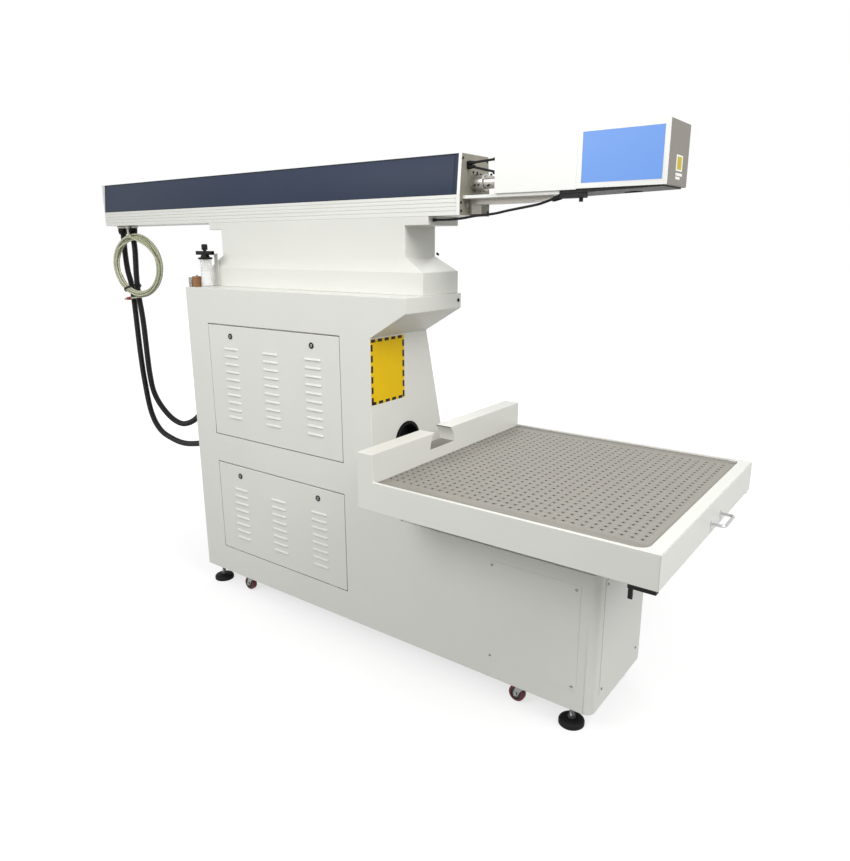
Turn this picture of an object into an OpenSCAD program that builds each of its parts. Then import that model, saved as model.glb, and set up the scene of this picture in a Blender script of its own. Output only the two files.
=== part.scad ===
// Free-standing carbon dioxide laser marking machine.
// X runs from the rear of the machine to the table, Z is up, and the laser axis lies in the plane y = 0.
// The origin is on the floor under the middle of the cabinet.

/* [Cabinet] */
// Length of the cabinet from its rear wall to its front wall
cabinet_l = 1920; // [1880:10:2100]
// Width of the cabinet
cabinet_w = 440; // [436:2:500]
// Height of the cabinet's underside above the floor
underside_z = 80; // [74:1:100]
// Height of the low part of the cabinet that carries the table
low_h = 486; // [470:2:500]
// Height of the step between the low part and the column
step_h = 640; // [620:5:660]
// Length of that step in front of the column
step_l = 128; // [100:2:140]
// Height of the column
column_h = 1280; // [1260:5:1360]
// Length of the column
column_l = 1032; // [1010:2:1060]
// Reach of the column's nose past its front wall
nose_l = 158; // [130:2:170]
// Height of the nose's front face
nose_h = 53; // [40:1:70]
// Height over which the nose's underside runs back to the column
nose_slope_h = 92; // [70:2:110]
// How far the column's far wall leans in towards the deck
shoulder_in = 106; // [90:2:110]
// Height of the lean's lower edge above the underside
shoulder_z = 711; // [690:1:740]
// Height of the leaning stretch of wall
shoulder_h = 424; // [400:2:440]
// Radius of the low part's upright front corners
corner_r = 30; // [20:1:34]
// Thickness of the sheet steel
sheet_t = 2; // [1.5:0.1:2.5]

/* [Service doors] */
// Length of both service doors
door_l = 749; // [700:1:780]
// Distance of the doors from the rear wall
door_inset = 135; // [115:1:150]
// Height of the upper door
upper_door_h = 473; // [440:1:490]
// Height of the upper door's lower edge above the underside
upper_door_z = 657; // [640:1:665]
// Height of the lower door
lower_door_h = 401; // [380:1:420]
// Height of the lower door's lower edge above the underside
lower_door_z = 124; // [110:1:140]
// Gap round a door
door_gap = 2.5; // [2:0.1:4]
// Gap above a door's upper edge
door_top_gap = 5; // [3:0.5:7]
// Depth of a door's folded edge
door_depth = 15; // [12:1:20]
// Distance between the louvre columns
louvre_step_x = 236; // [210:1:250]
// Width of a louvre
louvre_w = 86; // [70:1:100]
// Distance between the louvres of a column
louvre_step_z = 32.4; // [26:0.1:33]
// How far a louvre's hood stands out
louvre_out = 5; // [4:0.5:7]
// Distance of the upper door's top louvres below its upper edge
upper_louvre_drop = 98; // [84:1:110]
// Distance of the lower door's top louvres below its upper edge
lower_louvre_drop = 108; // [84:1:116]
// Number of louvres in a column of the upper door
upper_louvres = 10; // [8:1:10]
// Number of louvres in a column of the lower door
lower_louvres = 8; // [6:1:8]
// Distance of a door's locks below its upper edge
lock_drop = 42; // [34:1:46]
// Radius of a lock's head
lock_r = 12; // [10:0.5:14]

/* [Covers] */
// Height of the inner shelf above the underside
shelf_h = 582; // [578:1:600]
// Height of the power conduit's gland above the underside
power_gland_h = 560; // [530:1:560]
// Height of the signal conduit's gland above the underside
signal_gland_h = 820; // [790:1:850]
// Length of a laser power supply
supply_l = 190; // [150:5:220]
// Height of a laser power supply
supply_h = 240; // [200:5:246]
// Length of the control computer
computer_l = 440; // [380:5:470]
// Height of the control computer
computer_h = 400; // [340:5:405]
// Length of the access panel on the near side
panel_l = 333; // [300:1:350]
// Height of the access panel
panel_h = 368; // [340:1:380]
// Distance of the access panel from the front wall
panel_inset = 56; // [50:1:70]
// Height of the access panel's lower edge above the underside
panel_z = 71; // [60:1:80]
// Width of the front cover
front_cover_w = 330; // [300:2:360]
// Height of the front cover
front_cover_h = 400; // [370:2:410]
// Height of the front cover's lower edge above the underside
front_cover_z = 52; // [45:1:56]
// Distance of a cover's screws from its edges
screw_inset = 15; // [12:1:20]
// Radius of a cover screw's head
screw_r = 5; // [4:0.5:6]

/* [Riser] */
// Length of the riser's foot
riser_l = 1145; // [1120:1:1150]
// Width of the riser's foot
riser_w = 216; // [204:2:220]
// Height of the riser's foot
riser_foot_h = 78; // [60:1:90]
// Height of the riser's flare
flare_h = 51; // [40:1:60]
// Height of the riser's neck
neck_h = 106; // [90:1:120]
// Width of the riser's neck
neck_w = 180; // [160:2:190]
// How far the neck stands back from the foot's rear end
neck_rear = 65; // [50:1:80]
// How far the neck stands back from the foot's front end
neck_front = 90; // [70:1:110]
// Height of the mounting plate on the neck
mount_h = 29; // [24:1:34]
// Thickness of the riser's steel
riser_t = 5; // [4:0.5:6]

/* [Laser housing] */
// Length of the laser housing between its end plates
housing_l = 2090; // [2050:5:2160]
// Width of the housing at its base
housing_w = 180; // [172:2:190]
// Width of the housing at its lid
lid_w = 156; // [148:2:166]
// Height of the ribbed base profile
profile_h = 64; // [58:1:70]
// Height of the dark side panels
side_h = 124; // [120:1:136]
// Reach of the housing past the nose
housing_front = 115; // [100:1:130]
// Thickness of the front end plate
end_plate_t = 12; // [8:1:14]
// Height of the beam above the housing's underside
beam_h = 104; // [100:1:106]
// Radius of the glass laser tube
tube_r = 40; // [30:1:42]
// Length of the glass laser tube
tube_l = 1800; // [1600:10:1850]

/* [Optics] */
// Height of the support arm's top above the housing's underside
arm_top_h = 61; // [60:1:62]
// Gap between the end plate and the focus box
focus_gap = 125; // [110:1:150]
// Length of the focus box
focus_l = 274; // [250:1:290]
// Width of the focus box
focus_w = 170; // [160:2:180]
// Height of the focus box
focus_h = 128; // [115:1:135]
// Length of the scan head
head_l = 265; // [250:1:290]
// Width of the scan head
head_w = 166; // [160:2:176]
// Height of the scan head
head_h = 168; // [164:1:180]
// Margin round the scan head's blue face panel
face_margin = 15; // [10:1:20]
// Radius of the scan window
window_r = 34; // [30:1:36]
// Distance between the two scan mirrors
mirror_step = 44; // [40:1:48]
// Swing that each scan mirror is given room for, in degrees
mirror_swing = 12; // [8:1:15]
// Radius of a galvo motor
galvo_r = 18; // [15:0.5:19]
// Travel of the focus carriage to each side
carriage_travel = 12; // [8:1:18]

/* [Table] */
// Length of the table
table_l = 988; // [960:1:1020]
// Width of the table
table_w = 940; // [900:5:980]
// Gap between the column and the table's rear upstand
table_gap = 150; // [135:1:165]
// Height of the tray's side walls
tray_h = 100; // [96:1:110]
// Height of the legs between the low cabinet and the tray
leg_h = 134; // [120:1:150]
// Thickness of the tray's folded side walls
rim_t = 10; // [8:1:14]
// Length of the tray's front rim
front_rim = 40; // [34:1:50]
// Depth of the rear upstand
upstand_t = 65; // [59:1:71]
// Height of the rear upstand above the table
upstand_h = 91; // [85:1:110]
// Radius of the round notch through the upstand
notch_r = 75; // [66:1:78]
// Sideways place of the notch
notch_y = -82; // [-90:1:0]
// Height of the notch's sill above the table
notch_z = 34; // [26:1:40]
// Distance of the perforated plate below the rim
plate_drop = 6; // [4:0.5:8]
// Thickness of the perforated plate
plate_t = 3; // [2:0.5:4]
// Radius of the perforated plate's front corners
plate_corner_r = 34; // [26:1:40]
// Distance between the plate's holes
hole_step = 28; // [26:0.5:32]
// Radius of a hole in the plate
hole_r = 4; // [3:0.25:5]
// Depth of the scrap drawer's tray
drawer_h = 52; // [40:1:54]
// Travel of the scrap drawer
drawer_travel = 700; // [500:10:750]
// Distance between the feet of the drawer's handle
handle_w = 104; // [90:1:130]
// How far the handle stands out
handle_out = 40; // [34:1:46]
// Radius of the handle's bar
handle_r = 5; // [4:0.5:6]
// Sideways place of the handle
handle_y = 34; // [0:1:60]

/* [Extraction and yellow plate] */
// Outer radius of the extraction collar
collar_r = 68; // [60:1:74]
// Inner radius of the extraction collar
duct_r = 62.5; // [54:0.5:64]
// Height of the collar's centre above the cabinet's underside
duct_z = 724; // [712:1:740]
// Sideways place of the collar
duct_y = -12; // [-40:1:20]
// Width of the yellow plate
notice_w = 190; // [150:2:196]
// Height of the yellow plate
notice_h = 236; // [200:2:240]

/* [Feet and castors] */
// Radius of a levelling foot's pad
pad_r = 43; // [32:1:44]
// Height of a levelling foot's pad
pad_h = 24; // [18:1:28]
// Distance of the rear levelling feet from the rear wall
rear_foot_inset = 50; // [46:1:80]
// Distance of the front levelling feet from the front wall
front_foot_inset = 82; // [56:1:100]
// Distance of the castors from the cabinet's ends
castor_inset = 264; // [240:1:290]
// Distance of feet and castors from the cabinet's sides
foot_side = 42; // [40:1:50]
// Radius of a castor's wheel
wheel_r = 29.5; // [27:0.5:30]
// Width of a castor's wheel
wheel_w = 22; // [18:1:24]
// Distance between a castor's swivel axis and its wheel's axle
castor_trail = 22; // [18:1:26]
// Height of the castor wheels above the floor while the feet carry the machine
wheel_lift = 1.5; // [1:0.1:2]

/* [Air filter] */
// Radius of the air filter's bowl
bowl_r = 25; // [20:1:27]
// Height of the air filter's bowl
bowl_h = 110; // [90:1:120]
// Distance of the air filter from the rear wall
filter_inset = 78; // [76:1:90]

/* [Hoses] */
// Radius of the black conduits
conduit_r = 14; // [10:0.5:14]
// Radius of the pale water hose
hose_r = 5; // [4:0.25:5]
// Middle radius of the hose's coil
coil_r = 137; // [130:1:142]
// Radius of the coil's bundle of turns
bundle_r = 17.5; // [16:0.5:19.5]
// Radius of the signal cable and of the tube lead
lead_r = 4; // [3:0.25:4.5]

/* [Hidden] */
$fn = 48;

// Clearances: running fits, faces of pieces that move past each other, and the cut-through of a hole
fit = 0.06;
face_gap = 0.3;
cut = 1;

// Colours
white_paint = "#e9e9e6";
navy_panel = "#3a4659";
bare_metal = "#c9c9c4";
blue_face = "#82adff";
head_grey = "#a39d95";
black_part = "#1b1b1c";
pale_hose = "#d8d6b4";

// Places of the cabinet's walls
x_rear = -cabinet_l / 2;
x_front = cabinet_l / 2;
x_column = x_rear + column_l;
x_nose = x_column + nose_l;
x_step = x_column + step_l;
y_near = -cabinet_w / 2;
y_far = cabinet_w / 2;
y_deck = y_far - shoulder_in;
z_base = underside_z;
z_low = z_base + low_h;
z_step = z_base + step_h;
z_deck = z_base + column_h;
z_nose = z_deck - nose_h;

// Places along the riser, the laser housing and the optics
riser_inset = 35;
riser_x = x_rear + riser_inset;
z_flare = z_deck + riser_foot_h;
z_neck = z_flare + flare_h;
z_mount = z_neck + neck_h;
z_housing = z_mount + mount_h;
z_panels = z_housing + profile_h;
z_lid = z_panels + side_h;
z_beam = z_housing + beam_h;
x_housing = x_nose + housing_front;
x_housing_rear = x_housing - housing_l;
x_end = x_housing + end_plate_t;
z_arm = z_housing + arm_top_h;
x_focus = x_end + focus_gap;
x_head = x_focus + focus_l;
x_head_front = x_head + head_l;
z_head = z_arm + 2;
x_scan = x_head + 125;
head_wall = 3;
box_wall = 2;

// Places of the table
x_table = x_column + table_gap;
x_table_front = x_table + table_l;
z_tray = z_low + leg_h;
z_table = z_tray + tray_h;
z_plate = z_table - plate_drop;
x_plate = x_table + upstand_t;
x_rim = x_table_front - front_rim;
front_panel_t = 2;
x_drawer_front = x_table_front - front_panel_t;
x_frame_front = x_drawer_front - face_gap;
tray_floor_t = 2;
z_drawer = z_tray + tray_floor_t + 4;

// ---------- Cabinet ----------

nose_slope = (nose_slope_h) / nose_l;

// Upward shift of the nose's sloping underside for a skin set in by i
function slope_lift(i) = i * (sqrt(1 + nose_slope * nose_slope) - nose_slope);

// Side view of the cabinet, set in by i
function side_outline(i) = [
  [x_rear + i, z_base + i],
  [x_front - i, z_base + i],
  [x_front - i, z_low - i],
  [x_step - i, z_low - i],
  [x_step - i, z_step - i],
  [x_column - i, z_step - i],
  [x_column - i, z_nose - nose_slope_h + slope_lift(i)],
  [x_nose - i, z_nose + slope_lift(i)],
  [x_nose - i, z_deck - i],
  [x_rear + i, z_deck - i]];

// End view of the cabinet, set in by i
function end_outline(i) = [
  [y_near + i, z_base],
  [y_far - i, z_base],
  [y_far - i, z_base + shoulder_z],
  [y_deck - i, z_base + shoulder_z + shoulder_h],
  [y_deck - i, z_deck],
  [y_near + i, z_deck]];

// Plan of the cabinet with its rounded front corners, set in by i
module plan_outline(i) {
  difference() {
    translate([x_rear, y_near + i]) square([cabinet_l - i, cabinet_w - 2 * i]);
    for (side = [-1, 1]) translate([x_front - corner_r, side * (cabinet_w / 2 - corner_r)])
      difference() {
        translate([0, side > 0 ? 0 : -corner_r - cut]) square(corner_r + cut);
        circle(r = corner_r - i);
      }
  }
}

module cabinet_form(i) {
  intersection() {
    translate([0, y_far + cut, 0]) rotate([90, 0, 0]) linear_extrude(cabinet_w + 2 * cut)
      polygon(side_outline(i));
    translate([x_rear - cut, 0, 0]) rotate([90, 0, 90]) linear_extrude(cabinet_l + 2 * cut)
      polygon(end_outline(i));
    linear_extrude(z_deck + cut) plan_outline(i);
  }
}

// Hole for a service door and the folded lip that the door closes against
module door_hole(z, h) {
  translate([x_rear + door_inset - door_gap, y_near - cut, z_base + z - door_gap])
    cube([door_l + 2 * door_gap, sheet_t + 2 * cut, h + door_gap + door_top_gap]);
}

lip_w = 16;
module door_lip(z, h) {
  x0 = x_rear + door_inset - door_gap;
  top = z_base + z + h + door_top_gap;
  depth = door_depth + face_gap;
  for (x = [x0 - sheet_t, x0 + door_l + 2 * door_gap])
    translate([x, y_near, z_base + z]) cube([sheet_t, depth + sheet_t, h + door_top_gap + sheet_t]);
  for (x = [x0 - sheet_t, x0 + door_l + 2 * door_gap + sheet_t - lip_w])
    translate([x, y_near + depth, z_base + z]) cube([lip_w, sheet_t, h + door_top_gap + sheet_t]);
  translate([x0 - sheet_t, y_near, top])
    cube([door_l + 2 * door_gap + 2 * sheet_t, depth + sheet_t, sheet_t]);
  translate([x0 - sheet_t, y_near + depth, top + sheet_t - lip_w])
    cube([door_l + 2 * door_gap + 2 * sheet_t, sheet_t, lip_w]);
}

cover_edge = 12;
x_panel = x_front - panel_inset - panel_l;
z_front_cover = z_base + front_cover_z;
shelf_z = z_base + shelf_h;
gland_hole_r = conduit_r + 2;
power_gland = [x_rear, -60, z_base + power_gland_h];
signal_gland = [x_rear, 40, z_base + signal_gland_h];

module cabinet_shell() {
  color(white_paint) {
    difference() {
      cabinet_form(0);
      cabinet_form(sheet_t);
      door_hole(upper_door_z, upper_door_h);
      door_hole(lower_door_z, lower_door_h);
      translate([x_panel + cover_edge, y_near - cut, z_base + panel_z + cover_edge + 8])
        cube([panel_l - 2 * cover_edge, sheet_t + 2 * cut, panel_h - 2 * cover_edge - 16]);
      translate([x_front - sheet_t - cut, cover_edge - front_cover_w / 2, z_front_cover + cover_edge + 8])
        cube([sheet_t + 2 * cut, front_cover_w - 2 * cover_edge, front_cover_h - 2 * cover_edge - 16]);
      translate([x_column - sheet_t - cut, duct_y, z_base + duct_z]) rotate([0, 90, 0])
        cylinder(r = collar_r + fit, h = sheet_t + 2 * cut);
      for (p = [power_gland, signal_gland]) translate([p[0] - cut, p[1], p[2]]) rotate([0, 90, 0])
        cylinder(r = gland_hole_r + fit, h = sheet_t + 2 * cut);
    }
    door_lip(upper_door_z, upper_door_h);
    door_lip(lower_door_z, lower_door_h);
    translate([x_rear + sheet_t / 2, y_near + sheet_t / 2, shelf_z])
      cube([column_l - sheet_t, cabinet_w - sheet_t, sheet_t]);
  }
}

module front_cover() {
  color(white_paint) difference() {
    translate([x_front, -front_cover_w / 2, z_front_cover]) cube([1.5, front_cover_w, front_cover_h]);
    front_screw_places() rotate([0, 90, 0]) translate([0, 0, -cut]) cylinder(r = screw_shank_r, h = 4);
  }
}

module access_panel() {
  color(white_paint) difference() {
    translate([x_panel, y_near - 1.5, z_base + panel_z]) cube([panel_l, 1.5, panel_h]);
    panel_screw_places() rotate([-90, 0, 0]) translate([0, 0, -3]) cylinder(r = screw_shank_r, h = 4);
  }
}

screw_shank_r = 2.6;
module front_screw_places() {
  for (y = [screw_inset - front_cover_w / 2, front_cover_w / 2 - screw_inset],
       z = [screw_inset, front_cover_h - screw_inset])
    translate([x_front, y, z_base + front_cover_z + z]) children();
}

module panel_screw_places() {
  for (x = [screw_inset, panel_l - screw_inset], z = [screw_inset, panel_h - screw_inset])
    translate([x_front - panel_inset - panel_l + x, y_near, z_base + panel_z + z]) children();
}

// A pan-head screw whose shank points along -Z and whose head stands on a 1.5 mm cover
module cover_screw() {
  difference() {
    translate([0, 0, 1.5]) cylinder(r = screw_r, h = 3);
    translate([-0.5, -3, 3.3]) cube([1, 6, 2]);
    translate([-3, -0.5, 3.3]) cube([6, 1, 2]);
  }
  cylinder(r = screw_shank_r - 0.1, h = 2);
}

module cover_screws() {
  color(bare_metal) {
    front_screw_places() rotate([0, 90, 0]) cover_screw();
    panel_screw_places() rotate([90, 0, 0]) cover_screw();
  }
}

// ---------- Service doors and their locks ----------

lip_tab_h = 10;
louvre_h = 9;
hood_t = 1.2;

// One louvre lanced out of the sheet: a sloping hood with closed ends, drawn at its slot's lower left corner
module louvre() {
  hood = [[0, louvre_h], [-louvre_out, 2], [-louvre_out, 0], [hood_t - louvre_out, 0],
    [hood_t - louvre_out, 1.6], [0, louvre_h - 2]];
  cheek = [[0, louvre_h], [-louvre_out, 2], [-louvre_out, 0], [0, 0]];
  rotate([90, 0, 90]) linear_extrude(louvre_w) polygon(hood);
  for (x = [0, louvre_w - hood_t]) translate([x, 0, 0]) rotate([90, 0, 90]) linear_extrude(hood_t)
    polygon(cheek);
}

// Places of a door's louvres: three columns about the middle of the door
module louvre_places(top, rows) {
  for (column = [-1, 0, 1], row = [0:rows - 1])
    translate([x_rear + door_inset + door_l / 2 + column * louvre_step_x - louvre_w / 2, y_near,
      top - row * louvre_step_z]) children();
}

function lock_x(end) = x_rear + door_inset + door_l / 2 + end * (louvre_step_x - 2);

module service_door(z, h, drop, rows) {
  x0 = x_rear + door_inset;
  z0 = z_base + z;
  lock_z = z0 + h - lock_drop;
  tab_l = 40;
  color(white_paint) {
    difference() {
      union() {
        translate([x0, y_near, z0]) cube([door_l, sheet_t, h]);
        for (x = [x0, x0 + door_l - sheet_t]) translate([x, y_near, z0]) cube([sheet_t, door_depth, h]);
        for (edge_z = [z0, z0 + h - sheet_t]) translate([x0, y_near, edge_z])
          cube([door_l, door_depth, sheet_t]);
      }
      louvre_places(z0 + h - drop, rows) translate([hood_t, -cut, 0])
        cube([louvre_w - 2 * hood_t, sheet_t + 2 * cut, louvre_h - 2]);
      for (end = [-1, 1]) translate([lock_x(end), y_near - cut, lock_z]) rotate([-90, 0, 0])
        cylinder(r = lock_barrel_r + fit, h = sheet_t + 2 * cut);
    }
    louvre_places(z0 + h - drop, rows) louvre();
    for (x = [x0 + 60, x0 + door_l - 60 - tab_l]) translate([x, y_near + sheet_t + face_gap, z0 - lip_tab_h])
      cube([tab_l, 1.6, lip_tab_h + sheet_t]);
  }
}

module upper_service_door() { service_door(upper_door_z, upper_door_h, upper_louvre_drop, upper_louvres); }
module lower_service_door() { service_door(lower_door_z, lower_door_h, lower_louvre_drop, lower_louvres); }

lock_barrel_r = 9;
cam_l = lock_drop - 4;

// A quarter-turn cam lock, drawn open: slotted head, barrel through the door, cam that points along the door
module door_lock(end, z, h) {
  y_cam = y_near + door_depth + 2 * face_gap + sheet_t;
  color(black_part) translate([lock_x(end), 0, z_base + z + h - lock_drop]) {
    difference() {
      translate([0, y_near - face_gap, 0]) rotate([90, 0, 0]) cylinder(r = lock_r, h = 3);
      translate([-lock_r * 0.6, y_near - 4, -1.2]) cube([lock_r * 1.2, 2, 2.4]);
    }
    translate([0, y_near - 1, 0]) rotate([-90, 0, 0]) cylinder(r = lock_barrel_r, h = y_cam - y_near + 4);
    translate([end > 0 ? -cam_l : 0, y_cam, -7]) cube([cam_l, 3, 14]);
  }
}

module upper_rear_lock() { door_lock(-1, upper_door_z, upper_door_h); }
module upper_front_lock() { door_lock(1, upper_door_z, upper_door_h); }
module lower_rear_lock() { door_lock(-1, lower_door_z, lower_door_h); }
module lower_front_lock() { door_lock(1, lower_door_z, lower_door_h); }

// ---------- Riser ----------

function riser_side(i) = [
  [riser_x + i, z_deck],
  [riser_x + riser_l - i, z_deck],
  [riser_x + riser_l - i, z_flare],
  [riser_x + riser_l - neck_front - i, z_neck],
  [riser_x + riser_l - neck_front - i, z_mount],
  [riser_x + neck_rear + i, z_mount],
  [riser_x + neck_rear + i, z_neck],
  [riser_x + i, z_flare]];

function riser_end(i) = [
  [i - riser_w / 2, z_deck],
  [riser_w / 2 - i, z_deck],
  [riser_w / 2 - i, z_flare],
  [neck_w / 2 - i, z_neck],
  [neck_w / 2 - i, z_mount],
  [i - neck_w / 2, z_mount],
  [i - neck_w / 2, z_neck],
  [i - riser_w / 2, z_flare]];

module riser_form(i) {
  intersection() {
    translate([0, riser_w, 0]) rotate([90, 0, 0]) linear_extrude(2 * riser_w) polygon(riser_side(i));
    translate([riser_x - cut, 0, 0]) rotate([90, 0, 90]) linear_extrude(riser_l + 2 * cut)
      polygon(riser_end(i));
  }
}

mount_rear = 12;
mount_front = 10;
mount_l = riser_l + mount_rear + mount_front;
module riser() {
  color(white_paint) {
    difference() {
      riser_form(0);
      riser_form(riser_t);
    }
    difference() {
      translate([riser_x - mount_rear, -neck_w / 2, z_mount]) cube([mount_l, neck_w, mount_h]);
      translate([riser_x - mount_rear + riser_t, riser_t - neck_w / 2, z_mount + riser_t])
        cube([mount_l - 2 * riser_t, neck_w - 2 * riser_t, mount_h - 2 * riser_t]);
    }
  }
}

// ---------- Laser housing ----------

profile_t = 8;
rib_depth = 2;
panel_t = 2;

module housing_base() {
  color(bare_metal) difference() {
    translate([x_housing_rear, -housing_w / 2, z_housing]) cube([housing_l, housing_w, profile_h]);
    translate([x_housing_rear - cut, profile_t - housing_w / 2, z_housing + profile_t])
      cube([housing_l + 2 * cut, housing_w - 2 * profile_t, profile_h]);
    for (y = [-housing_w / 2 - cut, housing_w / 2 - rib_depth], rib = [1:4])
      translate([x_housing_rear - cut, y, z_housing + rib * profile_h / 5 - 2])
        cube([housing_l + 2 * cut, rib_depth + cut, 4]);
    for (p = [power_top, signal_top]) translate(p - [0, 0, cut])
      cylinder(r = gland_hole_r + fit, h = profile_t + 2 * cut);
    translate(hose_top - [0, 0, cut]) cylinder(r = hose_r + 1 + fit, h = profile_t + 2 * cut);
  }
}

module side_panels() {
  foot = housing_w / 2;
  top = lid_w / 2;
  color(navy_panel) for (side = [-1, 1])
    translate([x_housing_rear, 0, 0]) rotate([90, 0, 90]) linear_extrude(housing_l)
      polygon([[side * foot, z_panels], [side * top, z_lid], [side * (top - panel_t), z_lid],
        [side * (foot - panel_t), z_panels]]);
}

module housing_lid() {
  color(navy_panel) {
    translate([x_housing_rear, -lid_w / 2, z_lid]) cube([housing_l, lid_w, 3]);
    for (side = [-1, 1]) translate([x_housing_rear, side * (lid_w / 2 - 7) - 1, z_lid - 12])
      cube([housing_l, 2, 12]);
  }
}

rear_plate_t = 6;
lead_hole = [x_end, -47, z_beam + 58];
module end_plates() {
  w = housing_w + 4;
  top_w = lid_w + 4;
  color(white_paint) {
    difference() {
      translate([x_housing, 0, 0]) rotate([90, 0, 90]) linear_extrude(end_plate_t)
        polygon([[-w / 2, z_housing], [w / 2, z_housing], [w / 2, z_panels], [top_w / 2, z_lid + 3],
          [-top_w / 2, z_lid + 3], [-w / 2, z_panels]]);
      translate([x_housing - cut, 0, z_beam]) rotate([0, 90, 0]) cylinder(r = 12, h = end_plate_t + 2 * cut);
      translate([x_housing - cut, -50, z_housing + 31]) rotate([0, 90, 0])
        cylinder(r = 9, h = end_plate_t + 2 * cut);
    }
    translate([x_housing_rear - rear_plate_t, -housing_w / 2, z_housing])
      cube([rear_plate_t, housing_w, z_lid + 3 - z_housing]);
  }
}

// Sealed glass tube: water jacket, inner discharge tube and end caps
module laser_tube() {
  x0 = x_housing - 110 - tube_l;
  color("#cfe3e6") translate([x0, 0, z_beam]) rotate([0, 90, 0]) {
    difference() {
      cylinder(r = tube_r, h = tube_l);
      translate([0, 0, 4]) cylinder(r = tube_r - 2.5, h = tube_l - 8);
    }
    difference() {
      translate([0, 0, 2]) cylinder(r = 15, h = tube_l - 4);
      translate([0, 0, 4]) cylinder(r = 13, h = tube_l - 8);
    }
    translate([0, 0, tube_l]) cylinder(r = 14, h = 30);
    translate([0, 0, -30]) cylinder(r = 14, h = 30);
  }
}

module tube_saddles() {
  saddle_w = 2 * tube_r + 24;
  floor_z = z_housing + profile_t;
  color(black_part) for (share = [0.2, 0.8])
    difference() {
      translate([x_housing - 110 - tube_l * share - 15, -saddle_w / 2, floor_z])
        cube([30, saddle_w, z_beam - floor_z + 20]);
      translate([x_housing - 110 - tube_l * share - 15 - cut, 0, z_beam]) rotate([0, 90, 0])
        cylinder(r = tube_r + fit, h = 30 + 2 * cut);
    }
}

// ---------- Optics ----------

tube_flange_l = 44;
module beam_tube() {
  color(bare_metal) translate([x_end, 0, z_beam]) rotate([0, 90, 0]) difference() {
    union() {
      cylinder(r = 27, h = tube_flange_l);
      cylinder(r = 21, h = focus_gap);
    }
    translate([0, 0, -cut]) cylinder(r = 12, h = focus_gap + 2 * cut);
  }
}

arm_w = 150;
arm_t = 10;
rail_w = 60;
rail_h = 16;
rail_tip = 6;
rail_level_l = 198;
x_arm_end = x_head - 55;
module support_arm() {
  color(white_paint) {
    translate([x_end, -arm_w / 2, z_arm - arm_t]) cube([x_arm_end - x_end, arm_w, arm_t]);
    translate([0, rail_w / 2, z_arm - arm_t]) rotate([90, 0, 0]) linear_extrude(rail_w)
      polygon([[x_end, 0], [x_end, -rail_h], [x_end + rail_level_l, -rail_h], [x_arm_end - 40, -rail_tip],
        [x_arm_end - 40, 0]]);
    translate([x_end, -rail_w / 2, z_housing + 6]) cube([8, rail_w, arm_top_h - arm_t - 6]);
  }
}

roof_r = 16;
// Side view of the focus box, set in by i, with its rounded rear top edge
module focus_side(i) {
  r = roof_r - i;
  difference() {
    translate([x_focus + i, z_arm + i]) square([focus_l - 2 * i, focus_h - 2 * i]);
    translate([x_focus + i, z_arm + focus_h - roof_r]) difference() {
      translate([-cut, 0]) square([r + cut, r + cut]);
      translate([r, 0]) circle(r = r);
    }
  }
}

module focus_box() {
  color(white_paint) difference() {
    translate([0, focus_w / 2, 0]) rotate([90, 0, 0]) linear_extrude(focus_w) focus_side(0);
    translate([0, focus_w / 2 - box_wall, 0]) rotate([90, 0, 0]) linear_extrude(focus_w - 2 * box_wall)
      focus_side(box_wall);
    translate([x_focus - cut, 0, z_beam]) rotate([0, 90, 0]) cylinder(r = 12, h = box_wall + 2 * cut);
    translate([x_head - box_wall - cut, 0, z_beam]) rotate([0, 90, 0])
      cylinder(r = 26, h = box_wall + 2 * cut);
  }
}

// Carriage block on its base rail; it holds the moving lens on the beam
carriage_x = x_focus + 70;
rail_z = z_arm + box_wall;
module focus_carriage() {
  foot_z = rail_z + 9 + face_gap;
  color("#8d9296") difference() {
    union() {
      translate([carriage_x - 20, -24, foot_z]) cube([40, 48, 12]);
      translate([carriage_x - 9, 0, z_beam]) rotate([0, 90, 0]) cylinder(r = 20, h = 18);
      translate([carriage_x - 9, -12, foot_z]) cube([18, 24, z_beam - foot_z]);
    }
    translate([carriage_x - 10, 0, z_beam]) rotate([0, 90, 0]) cylinder(r = 11, h = 20);
  }
}

// Fixed lens in its ring, the carriage's rail, and the scan window
module fixed_optics() {
  color("#b8c4c8") {
    translate([carriage_x - 20 - carriage_travel - 4, -18, rail_z]) cube([2 * carriage_travel + 48, 36, 9]);
    difference() {
      union() {
        translate([x_head - box_wall - 24, 0, z_beam]) rotate([0, 90, 0]) cylinder(r = 32, h = 24);
        translate([x_head - box_wall - 24, -14, rail_z]) cube([24, 28, z_beam - rail_z]);
      }
      translate([x_head - box_wall - 24 - cut, 0, z_beam]) rotate([0, 90, 0]) cylinder(r = 24, h = 10 + cut);
      translate([x_head - box_wall - 8, 0, z_beam]) rotate([0, 90, 0]) cylinder(r = 24, h = 8 + cut);
    }
    translate([x_scan, mirror_step, z_head]) cylinder(r = window_r, h = head_wall);
  }
}

panel_recess = 1;
module scan_head() {
  w = head_w / 2;
  color(head_grey) difference() {
    translate([x_head, -w, z_head]) cube([head_l, head_w, head_h]);
    translate([x_head + head_wall, head_wall - w, z_head + head_wall])
      cube([head_l - 2 * head_wall, head_w - 2 * head_wall, head_h - 2 * head_wall]);
    translate([x_head - cut, 0, z_beam]) rotate([0, 90, 0]) cylinder(r = 26, h = head_wall + 2 * cut);
    translate([x_scan, mirror_step, z_head - cut]) cylinder(r = window_r + fit, h = head_wall + 2 * cut);
    translate([x_head + face_margin, -w - cut, z_head + face_margin])
      cube([head_l - 2 * face_margin, panel_recess + cut, head_h - 2 * face_margin]);
  }
}

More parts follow.
